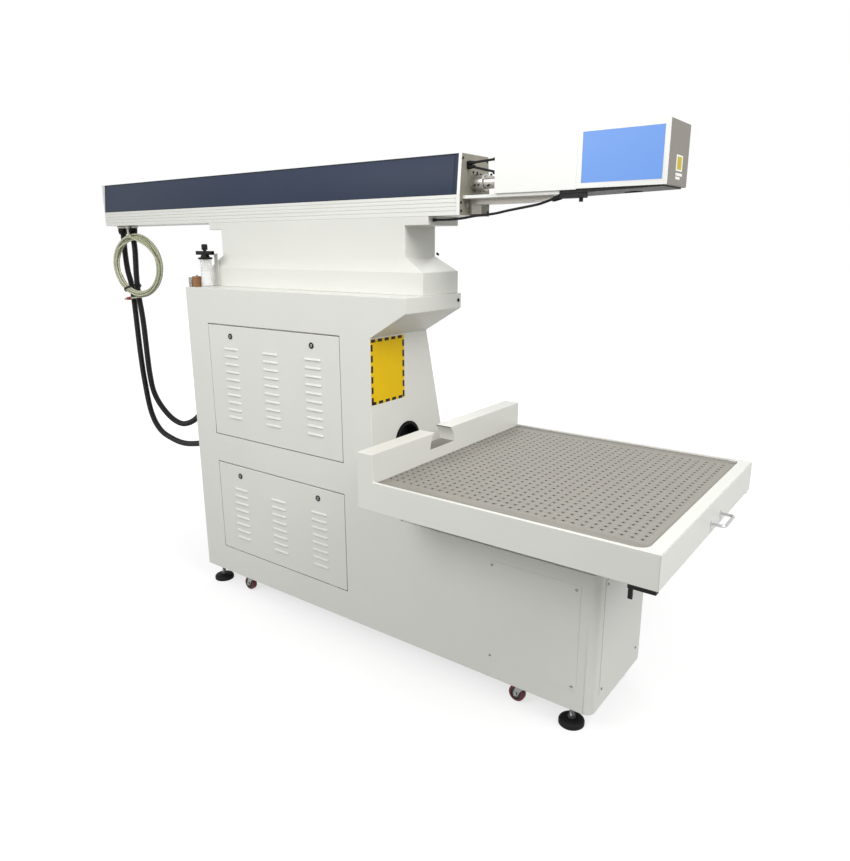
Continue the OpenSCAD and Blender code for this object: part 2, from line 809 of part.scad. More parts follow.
module face_panel() {
  edge = face_margin + 0.2;
  color(blue_face) translate([x_head + edge, panel_recess - head_w / 2 - 1.2, z_head + edge])
    cube([head_l - 2 * edge, 1.2, head_h - 2 * edge]);
}

shaft_r = 3;
x_motor_z = z_beam + 30;
y_motor_x = x_scan + 34;
// The X motor hangs from the head's roof and the Y motor from its front wall
module galvo_motors() {
  color(black_part) {
    difference() {
      translate([x_scan, 0, x_motor_z]) cylinder(r = galvo_r, h = z_head + head_h - head_wall - x_motor_z);
      translate([x_scan, 0, x_motor_z - cut]) cylinder(r = shaft_r + fit, h = 20 + cut);
    }
    difference() {
      translate([y_motor_x, mirror_step, z_beam]) rotate([0, 90, 0])
        cylinder(r = galvo_r, h = x_head_front - head_wall - y_motor_x);
      translate([y_motor_x - cut, mirror_step, z_beam]) rotate([0, 90, 0])
        cylinder(r = shaft_r + fit, h = 20 + cut);
    }
  }
}

mirror_t = 2.5;
module x_mirror() {
  color("silver") translate([x_scan, 0, z_beam]) {
    rotate([0, 0, 45]) translate([-13, -mirror_t / 2, -13]) cube([26, mirror_t, 26]);
    translate([0, 0, 8]) cylinder(r = shaft_r, h = x_motor_z + 18 - z_beam - 8);
  }
}

module y_mirror() {
  color("silver") translate([x_scan, mirror_step, z_beam]) {
    rotate([-45, 0, 0]) translate([-17, -mirror_t / 2, -12]) cube([34, mirror_t, 24]);
    translate([12, 0, 0]) rotate([0, 90, 0]) cylinder(r = shaft_r, h = y_motor_x + 18 - x_scan - 12);
  }
}

// Dark plate under the scan head, with the alignment pointer's bracket and barrel
pointer_x = x_head + 8;
z_head_plate = z_arm - arm_t;
plate_edge = 6;
module head_base_plate() {
  y0 = plate_edge - head_w / 2;
  color(black_part) {
    difference() {
      union() {
        translate([x_arm_end, y0, z_head_plate]) cube([x_head - x_arm_end, head_w - 2 * plate_edge, arm_t]);
        translate([x_head, y0, z_head_plate])
          cube([head_l - 2 * plate_edge, head_w - 2 * plate_edge, z_head - z_head_plate]);
      }
      translate([x_scan, mirror_step, z_head_plate - cut])
        cylinder(r = window_r - 6, h = z_head - z_head_plate + 2 * cut);
    }
    translate([x_arm_end, pointer_y - 15, z_head_plate - 12]) cube([pointer_x - x_arm_end + 14, 30, 12]);
    translate([pointer_x, pointer_y, z_head_plate - 23]) cylinder(r = 6, h = 12);
  }
}
pointer_y = -60;

// ---------- Table ----------

half_w = table_w / 2;
inner_w = half_w - rim_t;
bar_w = 40;
leg_y = 150;
ledge_w = 14;

// Half-round notch in the upstand, larger all round by grow and longer at both ends by over
module notch(grow, over) {
  translate([x_table - over, notch_y, z_table + notch_z]) rotate([90, 0, 90])
    linear_extrude(upstand_t + 2 * over) intersection() {
      circle(r = notch_r + grow);
      translate([-notch_r - grow, -grow]) square(2 * (notch_r + grow));
    }
}

module table_frame() {
  leg_x = x_table + 100;
  color(white_paint) {
    // side walls
    for (side = [-1, 1]) translate([x_table, side > 0 ? inner_w : -half_w, z_tray])
      cube([x_frame_front - x_table, rim_t, tray_h]);
    // ledges that carry the perforated plate
    for (side = [-1, 1]) translate([x_table, side > 0 ? inner_w - ledge_w : -inner_w, z_plate - plate_t - 3])
      cube([x_frame_front - x_table, ledge_w, 3]);
    for (share = [0.33, 0.67])
      translate([x_plate + share * (x_rim - x_plate), -inner_w, z_plate - plate_t - 12])
        cube([20, 2 * inner_w, 12]);
    // front rim with the plate's rounded corner pieces
    translate([0, 0, z_plate - plate_t - 3]) linear_extrude(3)
      translate([x_rim - 12, -inner_w]) square([x_frame_front - x_rim + 12, 2 * inner_w]);
    translate([0, 0, z_plate - plate_t]) linear_extrude(plate_drop + plate_t) difference() {
      translate([x_rim - plate_corner_r, -inner_w])
        square([x_frame_front - x_rim + plate_corner_r, 2 * inner_w]);
      plate_plan(0);
    }
    // floor and rear wall with the upstand
    translate([x_table, -half_w, z_tray]) cube([x_frame_front - x_table, table_w, tray_floor_t]);
    difference() {
      translate([x_table, -half_w, z_tray]) cube([upstand_t, table_w, tray_h + upstand_h]);
      difference() {
        translate([x_table + 3, 3 - half_w, z_tray + 3])
          cube([upstand_t - 6, table_w - 6, tray_h + upstand_h - 6]);
        notch(2, 0);
      }
      notch(0, cut);
    }
    // bearers and legs that stand on the low cabinet
    for (side = [-1, 1]) translate([x_table + 20, side * leg_y - bar_w / 2, z_tray - bar_w])
      cube([table_l - 60, bar_w, bar_w]);
    for (side = [-1, 1], x = [leg_x, (leg_x + x_front) / 2 - 60, x_front - bar_w - 60])
      translate([x, side * leg_y - bar_w / 2, z_low]) cube([bar_w, bar_w, leg_h - bar_w]);
  }
}

// Plan of the perforated plate, made smaller all round by i
module plate_plan(i) {
  r = plate_corner_r;
  w = inner_w - i;
  difference() {
    translate([x_plate + i, -w]) square([x_rim - x_plate - 2 * i, 2 * w]);
    for (side = [-1, 1]) translate([x_rim - i - r, side * (w - r)]) difference() {
      translate([0, side > 0 ? 0 : -r - cut]) square(r + cut);
      circle(r = r);
    }
  }
}

// Every second hole each way is drilled; the holes keep their full spacing and size
module perforated_plate() {
  step = 2 * hole_step;
  x_last = x_rim - 37;
  columns = floor((x_last - x_plate - 25) / step);
  rows = floor((inner_w - 60) / step);
  color("#b3ada2") translate([0, 0, z_plate - plate_t]) linear_extrude(plate_t) difference() {
    plate_plan(0.5);
    for (column = [0:columns], row = [-rows:rows])
      translate([x_last - column * step, row * step]) circle(r = hole_r, $fn = 8);
  }
}

drawer_w = 2 * inner_w - 24;
drawer_rear = x_plate + 6;
// Full-width drawer: its front panel closes the table's front, its tray catches scraps
module scrap_drawer() {
  color(white_paint) {
    translate([x_drawer_front, 1 - half_w, z_tray + 1]) cube([front_panel_t, table_w - 2, tray_h - 3]);
    difference() {
      translate([drawer_rear, -drawer_w / 2, z_drawer])
        cube([x_drawer_front - drawer_rear, drawer_w, drawer_h]);
      translate([drawer_rear + 2, 2 - drawer_w / 2, z_drawer + 2])
        cube([x_drawer_front - drawer_rear - 4, drawer_w - 4, drawer_h]);
    }
  }
}

handle_z = z_tray + 32;
// Bow handle: two feet and a bar that bends out of the front panel and back
module drawer_handle() {
  bend = 14;
  color("#c8c8c8") translate([x_table_front, handle_y, handle_z]) {
    for (side = [-1, 1]) {
      translate([0, side * handle_w / 2, 0]) rotate([0, 90, 0]) cylinder(r = 10, h = 3);
      translate([0, side * handle_w / 2, 0]) rotate([0, 90, 0])
        cylinder(r = handle_r, h = handle_out - bend);
      translate([handle_out - bend, side * (handle_w / 2 - bend), 0])
        rotate([0, 0, side > 0 ? 0 : -90]) rotate_extrude(angle = 90)
          translate([bend, 0]) circle(r = handle_r);
    }
    translate([handle_out, bend - handle_w / 2, 0]) rotate([-90, 0, 0])
      cylinder(r = handle_r, h = handle_w - 2 * bend);
  }
}

runner_w = 30;
runner_y = 300;
runner_inset = 40;
runner_l = table_l - upstand_t - runner_inset - 60;
bracket_inset = 80;
bracket_l = 74;
bracket_w = 20;
bracket_h = 12;
hanger_l = 12;
hanger_w = 6;
hanger_h = 44;
// Two steel runners under the drawer, and a bracket that hangs below each of the tray's front corners
module drawer_runners() {
  y_bracket = half_w - 12;
  color(black_part) {
    for (side = [-1, 1])
      translate([x_plate + runner_inset, side * runner_y - runner_w / 2, z_tray + tray_floor_t])
        cube([runner_l, runner_w, z_drawer - z_tray - tray_floor_t - face_gap]);
    for (side = [-1, 1]) {
      translate([x_table_front - bracket_inset, side * y_bracket - bracket_w / 2, z_tray - bracket_h])
        cube([bracket_l, bracket_w, bracket_h]);
      translate([x_table_front - bracket_inset, side * y_bracket - hanger_w / 2, z_tray - hanger_h])
        cube([hanger_l, hanger_w, hanger_h - bracket_h + 2]);
    }
  }
}

// ---------- Extraction, power supply, computer and yellow plate ----------

module extraction_blower() {
  color(black_part) translate([0, duct_y, z_base + duct_z]) {
    difference() {
      union() {
        translate([x_column - 110, 0, 0]) rotate([0, 90, 0]) cylinder(r = 50, h = 40);
        translate([x_column - 70, 0, 0]) rotate([0, 90, 0]) cylinder(r = collar_r, h = 76);
        translate([x_column, 0, 0]) rotate([0, 90, 0]) cylinder(r = collar_r + 6, h = 3);
        translate([x_column - 100, -40, shelf_z + sheet_t - z_base - duct_z])
          cube([60, 80, z_base + duct_z - shelf_z - sheet_t - 40]);
      }
      translate([x_column - 40, 0, 0]) rotate([0, 90, 0]) cylinder(r = duct_r, h = 46 + cut);
    }
  }
}

// Closed sheet casing of the given size
module casing(size) {
  difference() {
    cube(size);
    translate([casing_t, casing_t, casing_t]) cube(size - 2 * casing_t * [1, 1, 1]);
  }
}

casing_t = 1.5;
supply_w = 160;
supply_inset = 150;
supply_step = 270;
supply_y = -60;
module laser_power_supply() {
  color("#c4c6c8") for (i = [0:1])
    translate([x_rear + supply_inset + i * supply_step, supply_y, z_base + sheet_t])
      casing([supply_l, supply_w, supply_h]);
}

computer_w = 170;
computer_inset = 180;
computer_y = -70;
module control_computer() {
  color("#55585c") translate([x_rear + computer_inset, computer_y, shelf_z + sheet_t])
    casing([computer_l, computer_w, computer_h]);
}

// Plain yellow plate on the column's front wall
module yellow_plate() {
  color("#f2c21a") translate([x_column, y_near + 2, z_base + shoulder_z + shoulder_h - notice_h - 4])
    cube([1, notice_w, notice_h]);
}

// ---------- Feet and castors ----------

module foot_places() {
  for (x = [x_rear + rear_foot_inset, x_front - front_foot_inset], side = [-1, 1])
    translate([x, side * (cabinet_w / 2 - foot_side), 0]) children();
}

// Pad, threaded stem and lock nut of the levelling feet
module levelling_feet() {
  color(black_part) foot_places() {
    cylinder(r = pad_r, h = pad_h * 0.6);
    translate([0, 0, pad_h * 0.6]) cylinder(r = pad_r - 5, h = pad_h * 0.4);
    cylinder(r = 14, h = pad_h + 8);
    cylinder(r = 8, h = underside_z);
    translate([0, 0, underside_z - 12]) cylinder(r = 15, h = 12, $fn = 6);
  }
}

function castor_x(end) = end < 0 ? x_rear + castor_inset : x_front - castor_inset;
function castor_y(side) = side * (cabinet_w / 2 - foot_side);
swivel_plate_t = 4;
z_race = underside_z - swivel_plate_t - 5;
king_r = 5;
axle_r = 4;
z_axle = wheel_r + wheel_lift;

// Screwed top plate, bearing race and king pin of each castor
module castor_plates() {
  color(bare_metal) for (end = [-1, 1], side = [-1, 1]) translate([castor_x(end), castor_y(side), 0]) {
    translate([-40, -32, underside_z - swivel_plate_t]) cube([80, 64, swivel_plate_t]);
    translate([0, 0, z_race]) cylinder(r = 20, h = 5.5);
    translate([0, 0, z_race - 3]) cylinder(r = king_r, h = 4);
  }
}

// Swivel fork with its two cheeks and the wheel's axle, which trails to the rear
module castor_fork(end, side) {
  z_top = z_race - face_gap;
  cheek_t = 3;
  cheek_y = wheel_w / 2 + 1;
  color(bare_metal) translate([castor_x(end), castor_y(side), 0]) {
    difference() {
      translate([0, 0, z_top - 3]) cylinder(r = 20, h = 3);
      translate([0, 0, z_top - 3 - cut]) cylinder(r = king_r + fit, h = 3 + 2 * cut);
    }
    for (cheek = [-cheek_y, cheek_y + cheek_t]) translate([0, cheek, 0])
      rotate([90, 0, 0]) linear_extrude(cheek_t)
        polygon([[14, z_top], [-14, z_top], [-castor_trail - 8, z_axle],
          [-castor_trail - 4, z_axle - 8], [6 - castor_trail, z_axle - 8]]);
    translate([-castor_trail, cheek_y + 5, z_axle]) rotate([90, 0, 0])
      cylinder(r = axle_r, h = 2 * cheek_y + 10);
  }
}

module castor_wheel(end, side) {
  color("#7d1f22") translate([castor_x(end) - castor_trail, castor_y(side), z_axle])
    rotate([90, 0, 0])
    difference() {
      union() {
        translate([0, 0, -wheel_w / 2 + 2]) cylinder(r = wheel_r, h = wheel_w - 4);
        translate([0, 0, -wheel_w / 2]) cylinder(r = wheel_r - 2, h = wheel_w);
      }
      translate([0, 0, -wheel_w / 2 - cut]) cylinder(r = axle_r + fit, h = wheel_w + 2 * cut);
      for (face = [-wheel_w / 2 - cut, wheel_w / 2 - 4]) translate([0, 0, face]) difference() {
        cylinder(r = wheel_r - 9, h = 4 + cut);
        translate([0, 0, -cut]) cylinder(r = 9, h = 4 + 3 * cut);
      }
    }
}

module castor_fork_rear_near() { castor_fork(-1, -1); }
module castor_fork_rear_far() { castor_fork(-1, 1); }
module castor_fork_front_near() { castor_fork(1, -1); }
module castor_fork_front_far() { castor_fork(1, 1); }
module castor_wheel_rear_near() { castor_wheel(-1, -1); }
module castor_wheel_rear_far() { castor_wheel(-1, 1); }
module castor_wheel_front_near() { castor_wheel(1, -1); }
module castor_wheel_front_far() { castor_wheel(1, 1); }

// ---------- Air filter and valve on the deck ----------

filter_x = x_rear + filter_inset;
filter_y = -riser_w / 2 - 57;
z_filter = z_deck + bowl_h + 4;

// Ported body on the bowl, with the bracket that holds it to the riser
port_l = 104;
module filter_body() {
  color(black_part) translate([filter_x, filter_y, 0]) difference() {
    union() {
      translate([0, 0, z_filter]) cylinder(r = bowl_r + 4, h = 8);
      translate([0, 0, z_filter + 8]) cylinder(r1 = 20, r2 = 15, h = 12);
      translate([-port_l / 2, -9, z_filter + 18]) cube([port_l, 18, 16]);
      translate([-12, 0, z_filter + 20]) cube([24, -riser_w / 2 - filter_y, 4]);
      translate([-12, -riser_w / 2 - filter_y - 3, z_deck]) cube([24, 3, z_filter + 24 - z_deck]);
      translate([0, 0, z_filter + 34]) cylinder(r = 7, h = 4);
    }
    translate([0, 0, z_filter + 26]) cylinder(r = 4 + fit, h = 20);
  }
}

module filter_bowl() {
  color("#e8eef0") translate([filter_x, filter_y, z_deck]) difference() {
    cylinder(r = bowl_r, h = bowl_h + 4);
    translate([0, 0, 4]) cylinder(r = bowl_r - 3, h = bowl_h + cut);
  }
}

module filter_knob() {
  color(black_part) translate([filter_x, filter_y, 0]) {
    translate([0, 0, z_filter + 38 + face_gap]) cylinder(r = 12, h = 24);
    translate([0, 0, z_filter + 28]) cylinder(r = 4, h = 20);
  }
}

// Solenoid valve on the deck's rear edge: metal body with a moulded coil beside it
valve_body_l = 20;
valve_coil_l = 26;
module air_valve() {
  x0 = filter_x - bowl_r - 1 - valve_coil_l - valve_body_l;
  color("#a8794a") translate([x0, filter_y - 41, z_deck]) {
    cube([valve_body_l, 40, 40]);
    translate([valve_body_l, 3, 0]) cube([valve_coil_l, 34, 44]);
    translate([valve_body_l + valve_coil_l / 2, 20, 44]) cylinder(r = 5, h = 6);
  }
}

// ---------- Conduits, cables and the coiled hose ----------

power_top = [x_housing_rear + 41, -30, z_housing];
signal_top = [x_housing_rear + 127, -30, z_housing];
gland_l = 40;
gland_hex_r = 26;
gland_hex_h = 12;
gland_body_r = 22;
gland_socket = 8;
nipple_l = 14;
nipple_socket = 5;

// Gland with a hexagon against the panel, drawn pointing along +Z
module gland() {
  difference() {
    union() {
      cylinder(r = gland_hex_r, h = gland_hex_h, $fn = 6);
      cylinder(r = gland_body_r, h = gland_l);
      translate([0, 0, -profile_t]) cylinder(r = gland_hole_r, h = profile_t + cut);
    }
    translate([0, 0, gland_l - gland_socket]) cylinder(r = conduit_r + face_gap, h = gland_socket + cut);
  }
}

// Nipple that the water hose pushes into, drawn pointing along +Z
module nipple() {
  difference() {
    union() {
      cylinder(r = hose_r + 4, h = nipple_l);
      translate([0, 0, -profile_t]) cylinder(r = hose_r + 1, h = profile_t + cut);
    }
    translate([0, 0, nipple_l - nipple_socket]) cylinder(r = hose_r + face_gap, h = nipple_socket + cut);
  }
}

module hose_glands() {
  color(black_part) {
    translate(power_top) rotate([180, 0, 0]) gland();
    translate(signal_top) rotate([180, 0, 0]) gland();
    for (p = [power_gland, signal_gland]) translate(p) rotate([0, -90, 0]) gland();
    translate(hose_top) rotate([180, 0, 0]) nipple();
  }
}

function between(p0, p1, p2, p3, t) = 0.5 * (2 * p1 + (p2 - p0) * t
  + (2 * p0 - 5 * p1 + 4 * p2 - p3) * t * t + (3 * p1 - p0 - 3 * p2 + p3) * t * t * t);
// Smoothed route whose first and last stretches stay straight, so that its ends lie square in their glands
function cord_route(p, n) = concat([p[0]], [for (i = [1:len(p) - 3], k = [0:n - 1])
  between(p[i - 1], p[i], p[i + 1], p[i + 2], k / n)], [p[len(p) - 2], p[len(p) - 1]]);
function unit(v) = v / norm(v);
function along(p, i) = unit(p[min(i + 1, len(p) - 1)] - p[max(i - 1, 0)]);

// Ring of points round point i of route p; side_ref is a direction that the route never takes
function ring(p, i, r, sides, side_ref) =
  let (t = along(p, i), u = unit(cross(t, side_ref)), v = cross(t, u))
  [for (k = [0:sides - 1]) p[i] + r * (cos(360 * k / sides) * u + sin(360 * k / sides) * v)];

module cord_tube(p, r, sides, side_ref) {
  points = [for (i = [0:len(p) - 1]) each ring(p, i, r, sides, side_ref)];
  last = (len(p) - 1) * sides;
  walls = [for (i = [0:len(p) - 2], k = [0:sides - 1])
    let (a = i * sides + k, b = i * sides + (k + 1) % sides) [a, a + sides, b + sides, b]];
  polyhedron(points, concat([[for (k = [0:sides - 1]) k]], walls,
    [[for (k = [sides - 1:-1:0]) last + k]]));
}

seat = gland_l - gland_socket;
// Routes of the two conduits, from the glands under the housing to those in the cabinet's rear wall
power_route = concat([power_top - [0, 0, seat], power_top - [0, 0, seat + 32]], [for (p = [
  [-1706, -30, 1500], [-1697, -31, 1410], [-1668, -33, 1300], [-1656, -35, 1010], [-1640, -37, 850],
  [-1604, -40, 690], [-1532, -44, 606], [-1422, -48, 574], [-1310, -52, 569], [-1180, -56, 592],
  [-1110, -59, 616]]) p],
  [power_gland - [seat + 64, 0, 7], power_gland - [seat + 24, 0, 0], power_gland - [seat, 0, 0]]);
signal_route = concat([signal_top - [0, 0, seat], signal_top - [0, 0, seat + 32]], [for (p = [
  [-1616, -30, 1500], [-1628, -29, 1380], [-1626, -29, 1290], [-1614, -26, 1150], [-1614, -20, 890],
  [-1590, -14, 770], [-1502, -8, 682], [-1405, -2, 648], [-1318, 8, 672], [-1240, 18, 735],
  [-1165, 27, 810], [-1100, 34, 868]]) p],
  [signal_gland - [seat + 58, 2, 7], signal_gland - [seat + 22, 0, 0], signal_gland - [seat, 0, 0]]);

module conduit(route) { color(black_part) cord_tube(cord_route(route, 2), conduit_r, 12, [0, 1, 0]); }
module power_conduit() { conduit(power_route); }
module signal_conduit() { conduit(signal_route); }

// The hose leaves the housing's underside, passes before the coil's top and joins its turns at the side
coil_centre = [x_housing_rear + 178, -52.5, z_housing - 190];
coil_turn = 13;
coil_side = [cos(coil_turn), sin(coil_turn), 0];
coil_face = [sin(coil_turn), -cos(coil_turn), 0];
function coil_place(side, face, up) = coil_centre + side * coil_side + face * coil_face + [0, 0, up];
hose_top = [coil_place(-30, 12, 0)[0], coil_place(-30, 12, 0)[1], z_housing];
hose_start = hose_top - [0, 0, nipple_l - nipple_socket];
hose_route = concat([hose_start, hose_start - [0, 0, 7]], [for (p = [
  [-24, 17, 154], [-11, 20, 140], [8, 22, 130], [30, 23, 122], [55, 24, 113], [80, 24, 101],
  [105, 22, 80], [128, 18, 50], [140, 12, 20]]) coil_place(p[0], p[1], p[2])]);
module water_hose() {
  color(pale_hose) cord_tube(hose_route, hose_r, 8, unit([1, 2, 0]));
}

module water_hose_coil() {
  color(pale_hose) translate(coil_centre) rotate([90, 0, coil_turn]) rotate_extrude()
    translate([coil_r, 0]) circle(r = bundle_r, $fn = 32);
}

// Red push-in fitting on the hose's free end, which leaves the coil at its foot and points to the rear
fitting_angle = 277;
turn_out = 11.6;
tail_from = 30;
tail_to = 94;
module hose_fitting() {
  color("#b3282d") translate(coil_centre) rotate([0, 0, coil_turn]) rotate([0, 90 - fitting_angle, 0])
    translate([tail_from, 0, coil_r + turn_out]) rotate([0, 90, 0]) {
      cylinder(r = hose_r, h = tail_to - tail_from);
      translate([0, 0, tail_to - tail_from]) cylinder(r = 9, h = 20);
      translate([0, 0, tail_to - tail_from + 20]) cylinder(r = 6, h = 14);
    }
}

// Strap round the coil's bundle and the signal conduit, tilted so that it crosses both
tie_w = 8;
tie_t = 2;
tie_angle = 235;
tie_tilt = 145;
tie_normal = [sin(tie_tilt), 0, cos(tie_tilt)];
tie_side = [cos(tie_tilt), 0, -sin(tie_tilt)];
tie_bundle = coil_centre + coil_r * (cos(tie_angle) * coil_side + [0, 0, sin(tie_angle)]);
bundle_dir = [0, 0, cos(tie_angle)] - sin(tie_angle) * coil_side;

// The conduit's ring nearest the strap's plane, and from it the point where the conduit crosses that plane
signal_rings = cord_route(signal_route, 2);
plane_off = [for (p = signal_rings) abs((p - tie_bundle) * tie_normal)];
nearest = [for (i = [0:len(plane_off) - 1]) if (plane_off[i] == min(plane_off)) i][0];
conduit_dir = along(signal_rings, nearest);
tie_conduit = signal_rings[nearest]
  + conduit_dir * ((tie_bundle - signal_rings[nearest]) * tie_normal) / (conduit_dir * tie_normal);

// Radius of a strap's loop round a tube of radius r that crosses it along dir
tie_slack = 0.9;
function loop_r(r, dir) = r / abs(tie_normal * dir) + tie_slack;

module tie_outline(wall) {
  offset = tie_conduit - tie_bundle;
  hull() {
    circle(r = loop_r(bundle_r, bundle_dir) + wall);
    translate([offset * tie_side, offset[1]]) circle(r = loop_r(conduit_r, conduit_dir) + wall);
  }
}

module hose_tie() {
  color(black_part) translate(tie_bundle) rotate([0, tie_tilt, 0]) translate([0, 0, -tie_w / 2])
    linear_extrude(tie_w) difference() {
      tie_outline(tie_t);
      tie_outline(0);
    }
}

// Signal cable that runs forward from the riser's mount, under the housing and up to the head's base plate
x_mount_front = riser_x + riser_l + mount_front;
signal_cable_route = [[x_mount_front, -60, z_housing - 12], [x_mount_front + 18, -60, z_housing - 12],
  [x_housing - 45, -60, z_housing - 12], [x_housing + 5, -60, z_housing - 9],
  [x_housing + 52, -60, z_housing - 3], [x_housing + 121, -60, z_housing + 2],
  [x_housing + 178, -60, z_housing + 11], [x_arm_end - 86, -60, z_housing + 24],
  [x_arm_end - 50, -60, z_housing + 32.5], [x_arm_end - 14, pointer_y, z_head_plate - 8],
  [x_arm_end, pointer_y, z_head_plate - 6]];
module signal_cable() {
  color(black_part) cord_tube(signal_cable_route, lead_r, 8, [0, 1, 0]);
}

// Lead from the end plate to the focus box
tube_lead_route = [lead_hole, lead_hole + [16, 0, 0], lead_hole + [60, 1, 3],
  lead_hole + [focus_gap - 14, 2, 6], lead_hole + [focus_gap, 2, 6]];
module tube_lead() {
  color(black_part) cord_tube(tube_lead_route, lead_r, 8, [0, 0, 1]);
}

cabinet_shell();
front_cover();
access_panel();
cover_screws();
riser();
housing_base();
side_panels();
housing_lid();
end_plates();
laser_tube();
tube_saddles();
beam_tube();
support_arm();
focus_box();
fixed_optics();
scan_head();
face_panel();
galvo_motors();
head_base_plate();
signal_cable();
tube_lead();
table_frame();
perforated_plate();
drawer_runners();
extraction_blower();
laser_power_supply();
control_computer();
levelling_feet();
castor_plates();
yellow_plate();
filter_body();
filter_bowl();
air_valve();
hose_glands();
power_conduit();
signal_conduit();
water_hose();
water_hose_coil();
hose_fitting();
hose_tie();
upper_service_door();
lower_service_door();
upper_rear_lock();
upper_front_lock();
lower_rear_lock();
lower_front_lock();
scrap_drawer();
drawer_handle();
focus_carriage();
x_mirror();
y_mirror();
filter_knob();
castor_fork_rear_near();
castor_fork_rear_far();
castor_fork_front_near();
castor_fork_front_far();
castor_wheel_rear_near();
castor_wheel_rear_far();
castor_wheel_front_near();
castor_wheel_front_far();
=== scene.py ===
import math
import bpy
import bmesh
from mathutils import Matrix, Vector
from mathutils.geometry import tessellate_polygon


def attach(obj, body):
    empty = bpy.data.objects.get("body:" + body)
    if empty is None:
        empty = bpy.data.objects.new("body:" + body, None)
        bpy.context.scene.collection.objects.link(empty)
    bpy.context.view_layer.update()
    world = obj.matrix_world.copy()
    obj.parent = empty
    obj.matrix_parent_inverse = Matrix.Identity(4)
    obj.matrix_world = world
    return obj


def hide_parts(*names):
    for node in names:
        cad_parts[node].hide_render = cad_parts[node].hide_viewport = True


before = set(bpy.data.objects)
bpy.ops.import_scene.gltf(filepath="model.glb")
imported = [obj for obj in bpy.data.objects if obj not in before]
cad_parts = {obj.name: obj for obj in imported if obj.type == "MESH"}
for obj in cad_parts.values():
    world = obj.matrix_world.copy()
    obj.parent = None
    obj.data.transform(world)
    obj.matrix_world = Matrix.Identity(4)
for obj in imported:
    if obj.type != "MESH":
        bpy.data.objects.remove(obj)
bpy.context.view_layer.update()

MM = 0.001
TURN = 2 * math.pi
# Points nearer than this, in metres, are joined: in a piece, in a sheet, and where rows meet
piece_weld, sheet_weld, row_weld = 2e-6, 2e-5, 1e-5
O, X, Y, Z = Vector((0, 0, 0)), Vector((1, 0, 0)), Vector((0, 1, 0)), Vector((0, 0, 1))


# ---------- Small tools ----------

def at(*values):
    """A point given in millimetres."""
    return Vector(values) * MM


def linear(code):
    """An sRGB hex colour as linear light."""
    parts = [int(code[i:i + 2], 16) / 255 for i in (1, 3, 5)]
    return [v / 12.92 if v <= 0.04045 else ((v + 0.055) / 1.055) ** 2.4 for v in parts] + [1.0]


def add(tree, kind, inputs=None, **settings):
    """Adds a node with its settings, its values and its links."""
    made = tree.nodes.new(kind)
    for name, value in settings.items():
        setattr(made, name, value)
    for name, value in (inputs or {}).items():
        socket = made.inputs[name]
        if isinstance(value, bpy.types.NodeSocket):
            tree.links.new(value, socket)
        else:
            socket.default_value = value
    return made


def blank(name):
    """A material with an empty tree, and that tree."""
    material = bpy.data.materials.new(name)
    material.use_nodes = True
    material.node_tree.nodes.clear()
    return material, material.node_tree


def new_object(name, data):
    """A new object, linked to the scene."""
    made = bpy.data.objects.new(name, data)
    bpy.context.scene.collection.objects.link(made)
    return made


# ---------- Camera ----------

turn_left, look_down, roll = (math.radians(a) for a in (36.55, 14.82, -0.19))
eye = Vector((1.6894, -2.0848, 1.534))
aim = (Matrix.Rotation(turn_left, 4, "Z") @ Matrix.Rotation(math.pi / 2 - look_down, 4, "X")
       @ Matrix.Rotation(roll, 4, "Z"))
lens = bpy.data.cameras.new("camera")
lens.lens = 29.55
lens.shift_x = 0.0009
lens.shift_y = 0.0004
camera = new_object("camera", lens)
camera.matrix_world = Matrix.Translation(eye) @ aim
bpy.context.scene.camera = camera


# ---------- Finishes ----------

def finish(name, colour, rough, shade, mottle, grain, depth, pull=(1, 1, 1), rough_step=0.08, sheen=0.5,
           **shader):
    """A surface that drifts between shade and colour over patches of mottle mm, with a grain of grain mm.

    pull draws both out along an axis, rough_step is how much rougher the patches of colour are, and sheen is
    how much of the light a coat mirrors."""
    material, tree = blank(name)
    place = add(tree, "ShaderNodeTexCoord").outputs["Object"]
    drawn = add(tree, "ShaderNodeMapping", {"Vector": place, "Scale": pull}).outputs["Vector"]
    patches = add(tree, "ShaderNodeTexNoise", {
        "Vector": drawn, "Scale": 1000 / mottle, "Detail": 4.0, "Roughness": 0.6}).outputs["Fac"]
    tone = add(tree, "ShaderNodeMix", {"Factor": patches}, data_type="RGBA")
    for socket, value in zip([s for s in tone.inputs if s.type == "RGBA"], (shade, colour)):
        socket.default_value = linear(value)
    gloss = add(tree, "ShaderNodeMapRange", {
        "Value": patches, "From Min": 0.3, "From Max": 0.7, "To Min": rough, "To Max": rough + rough_step})
    body = add(tree, "ShaderNodeBsdfPrincipled", {
        "Base Color": [s for s in tone.outputs if s.type == "RGBA"][0], "Roughness": gloss.outputs["Result"],
        "Specular IOR Level": sheen, **{socket.replace("_", " "): value for socket, value in shader.items()}})
    if grain:
        peel = add(tree, "ShaderNodeTexNoise", {"Vector": drawn, "Scale": 1000 / grain, "Detail": 2.0})
        relief = add(tree, "ShaderNodeBump", {"Height": peel.outputs["Fac"], "Distance": depth * MM,
                                              "Strength": 1.0})
        tree.links.new(relief.outputs["Normal"], body.inputs["Normal"])
    add(tree, "ShaderNodeOutputMaterial", {"Surface": body.outputs["BSDF"]})
    return material


die_lines = (0.012, 1, 1)


# Satin powder coat on folded sheet steel: soft broad sheen with a faint orange peel
coat = finish("powder_coated_steel", "#e2e2dc", 0.36, "#dcdcd6", 260, 2.2, 0.05, rough_step=0.06)
# The same coat on the sheets round the optics, smoother, and painted brighter: painted light for the stronger
# light on these high parts
lit_coat = finish("coat_painted_brighter", "#f4f4f1", 0.28, "#efefeb", 200, 2.2, 0.03, rough_step=0.05)
# Grey hammer-smooth coat of the scan head's casting
grey_coat = finish("grey_coated_casting", "#86807a", 0.44, "#7d7871", 60, 1.6, 0.08, sheen=0.3)
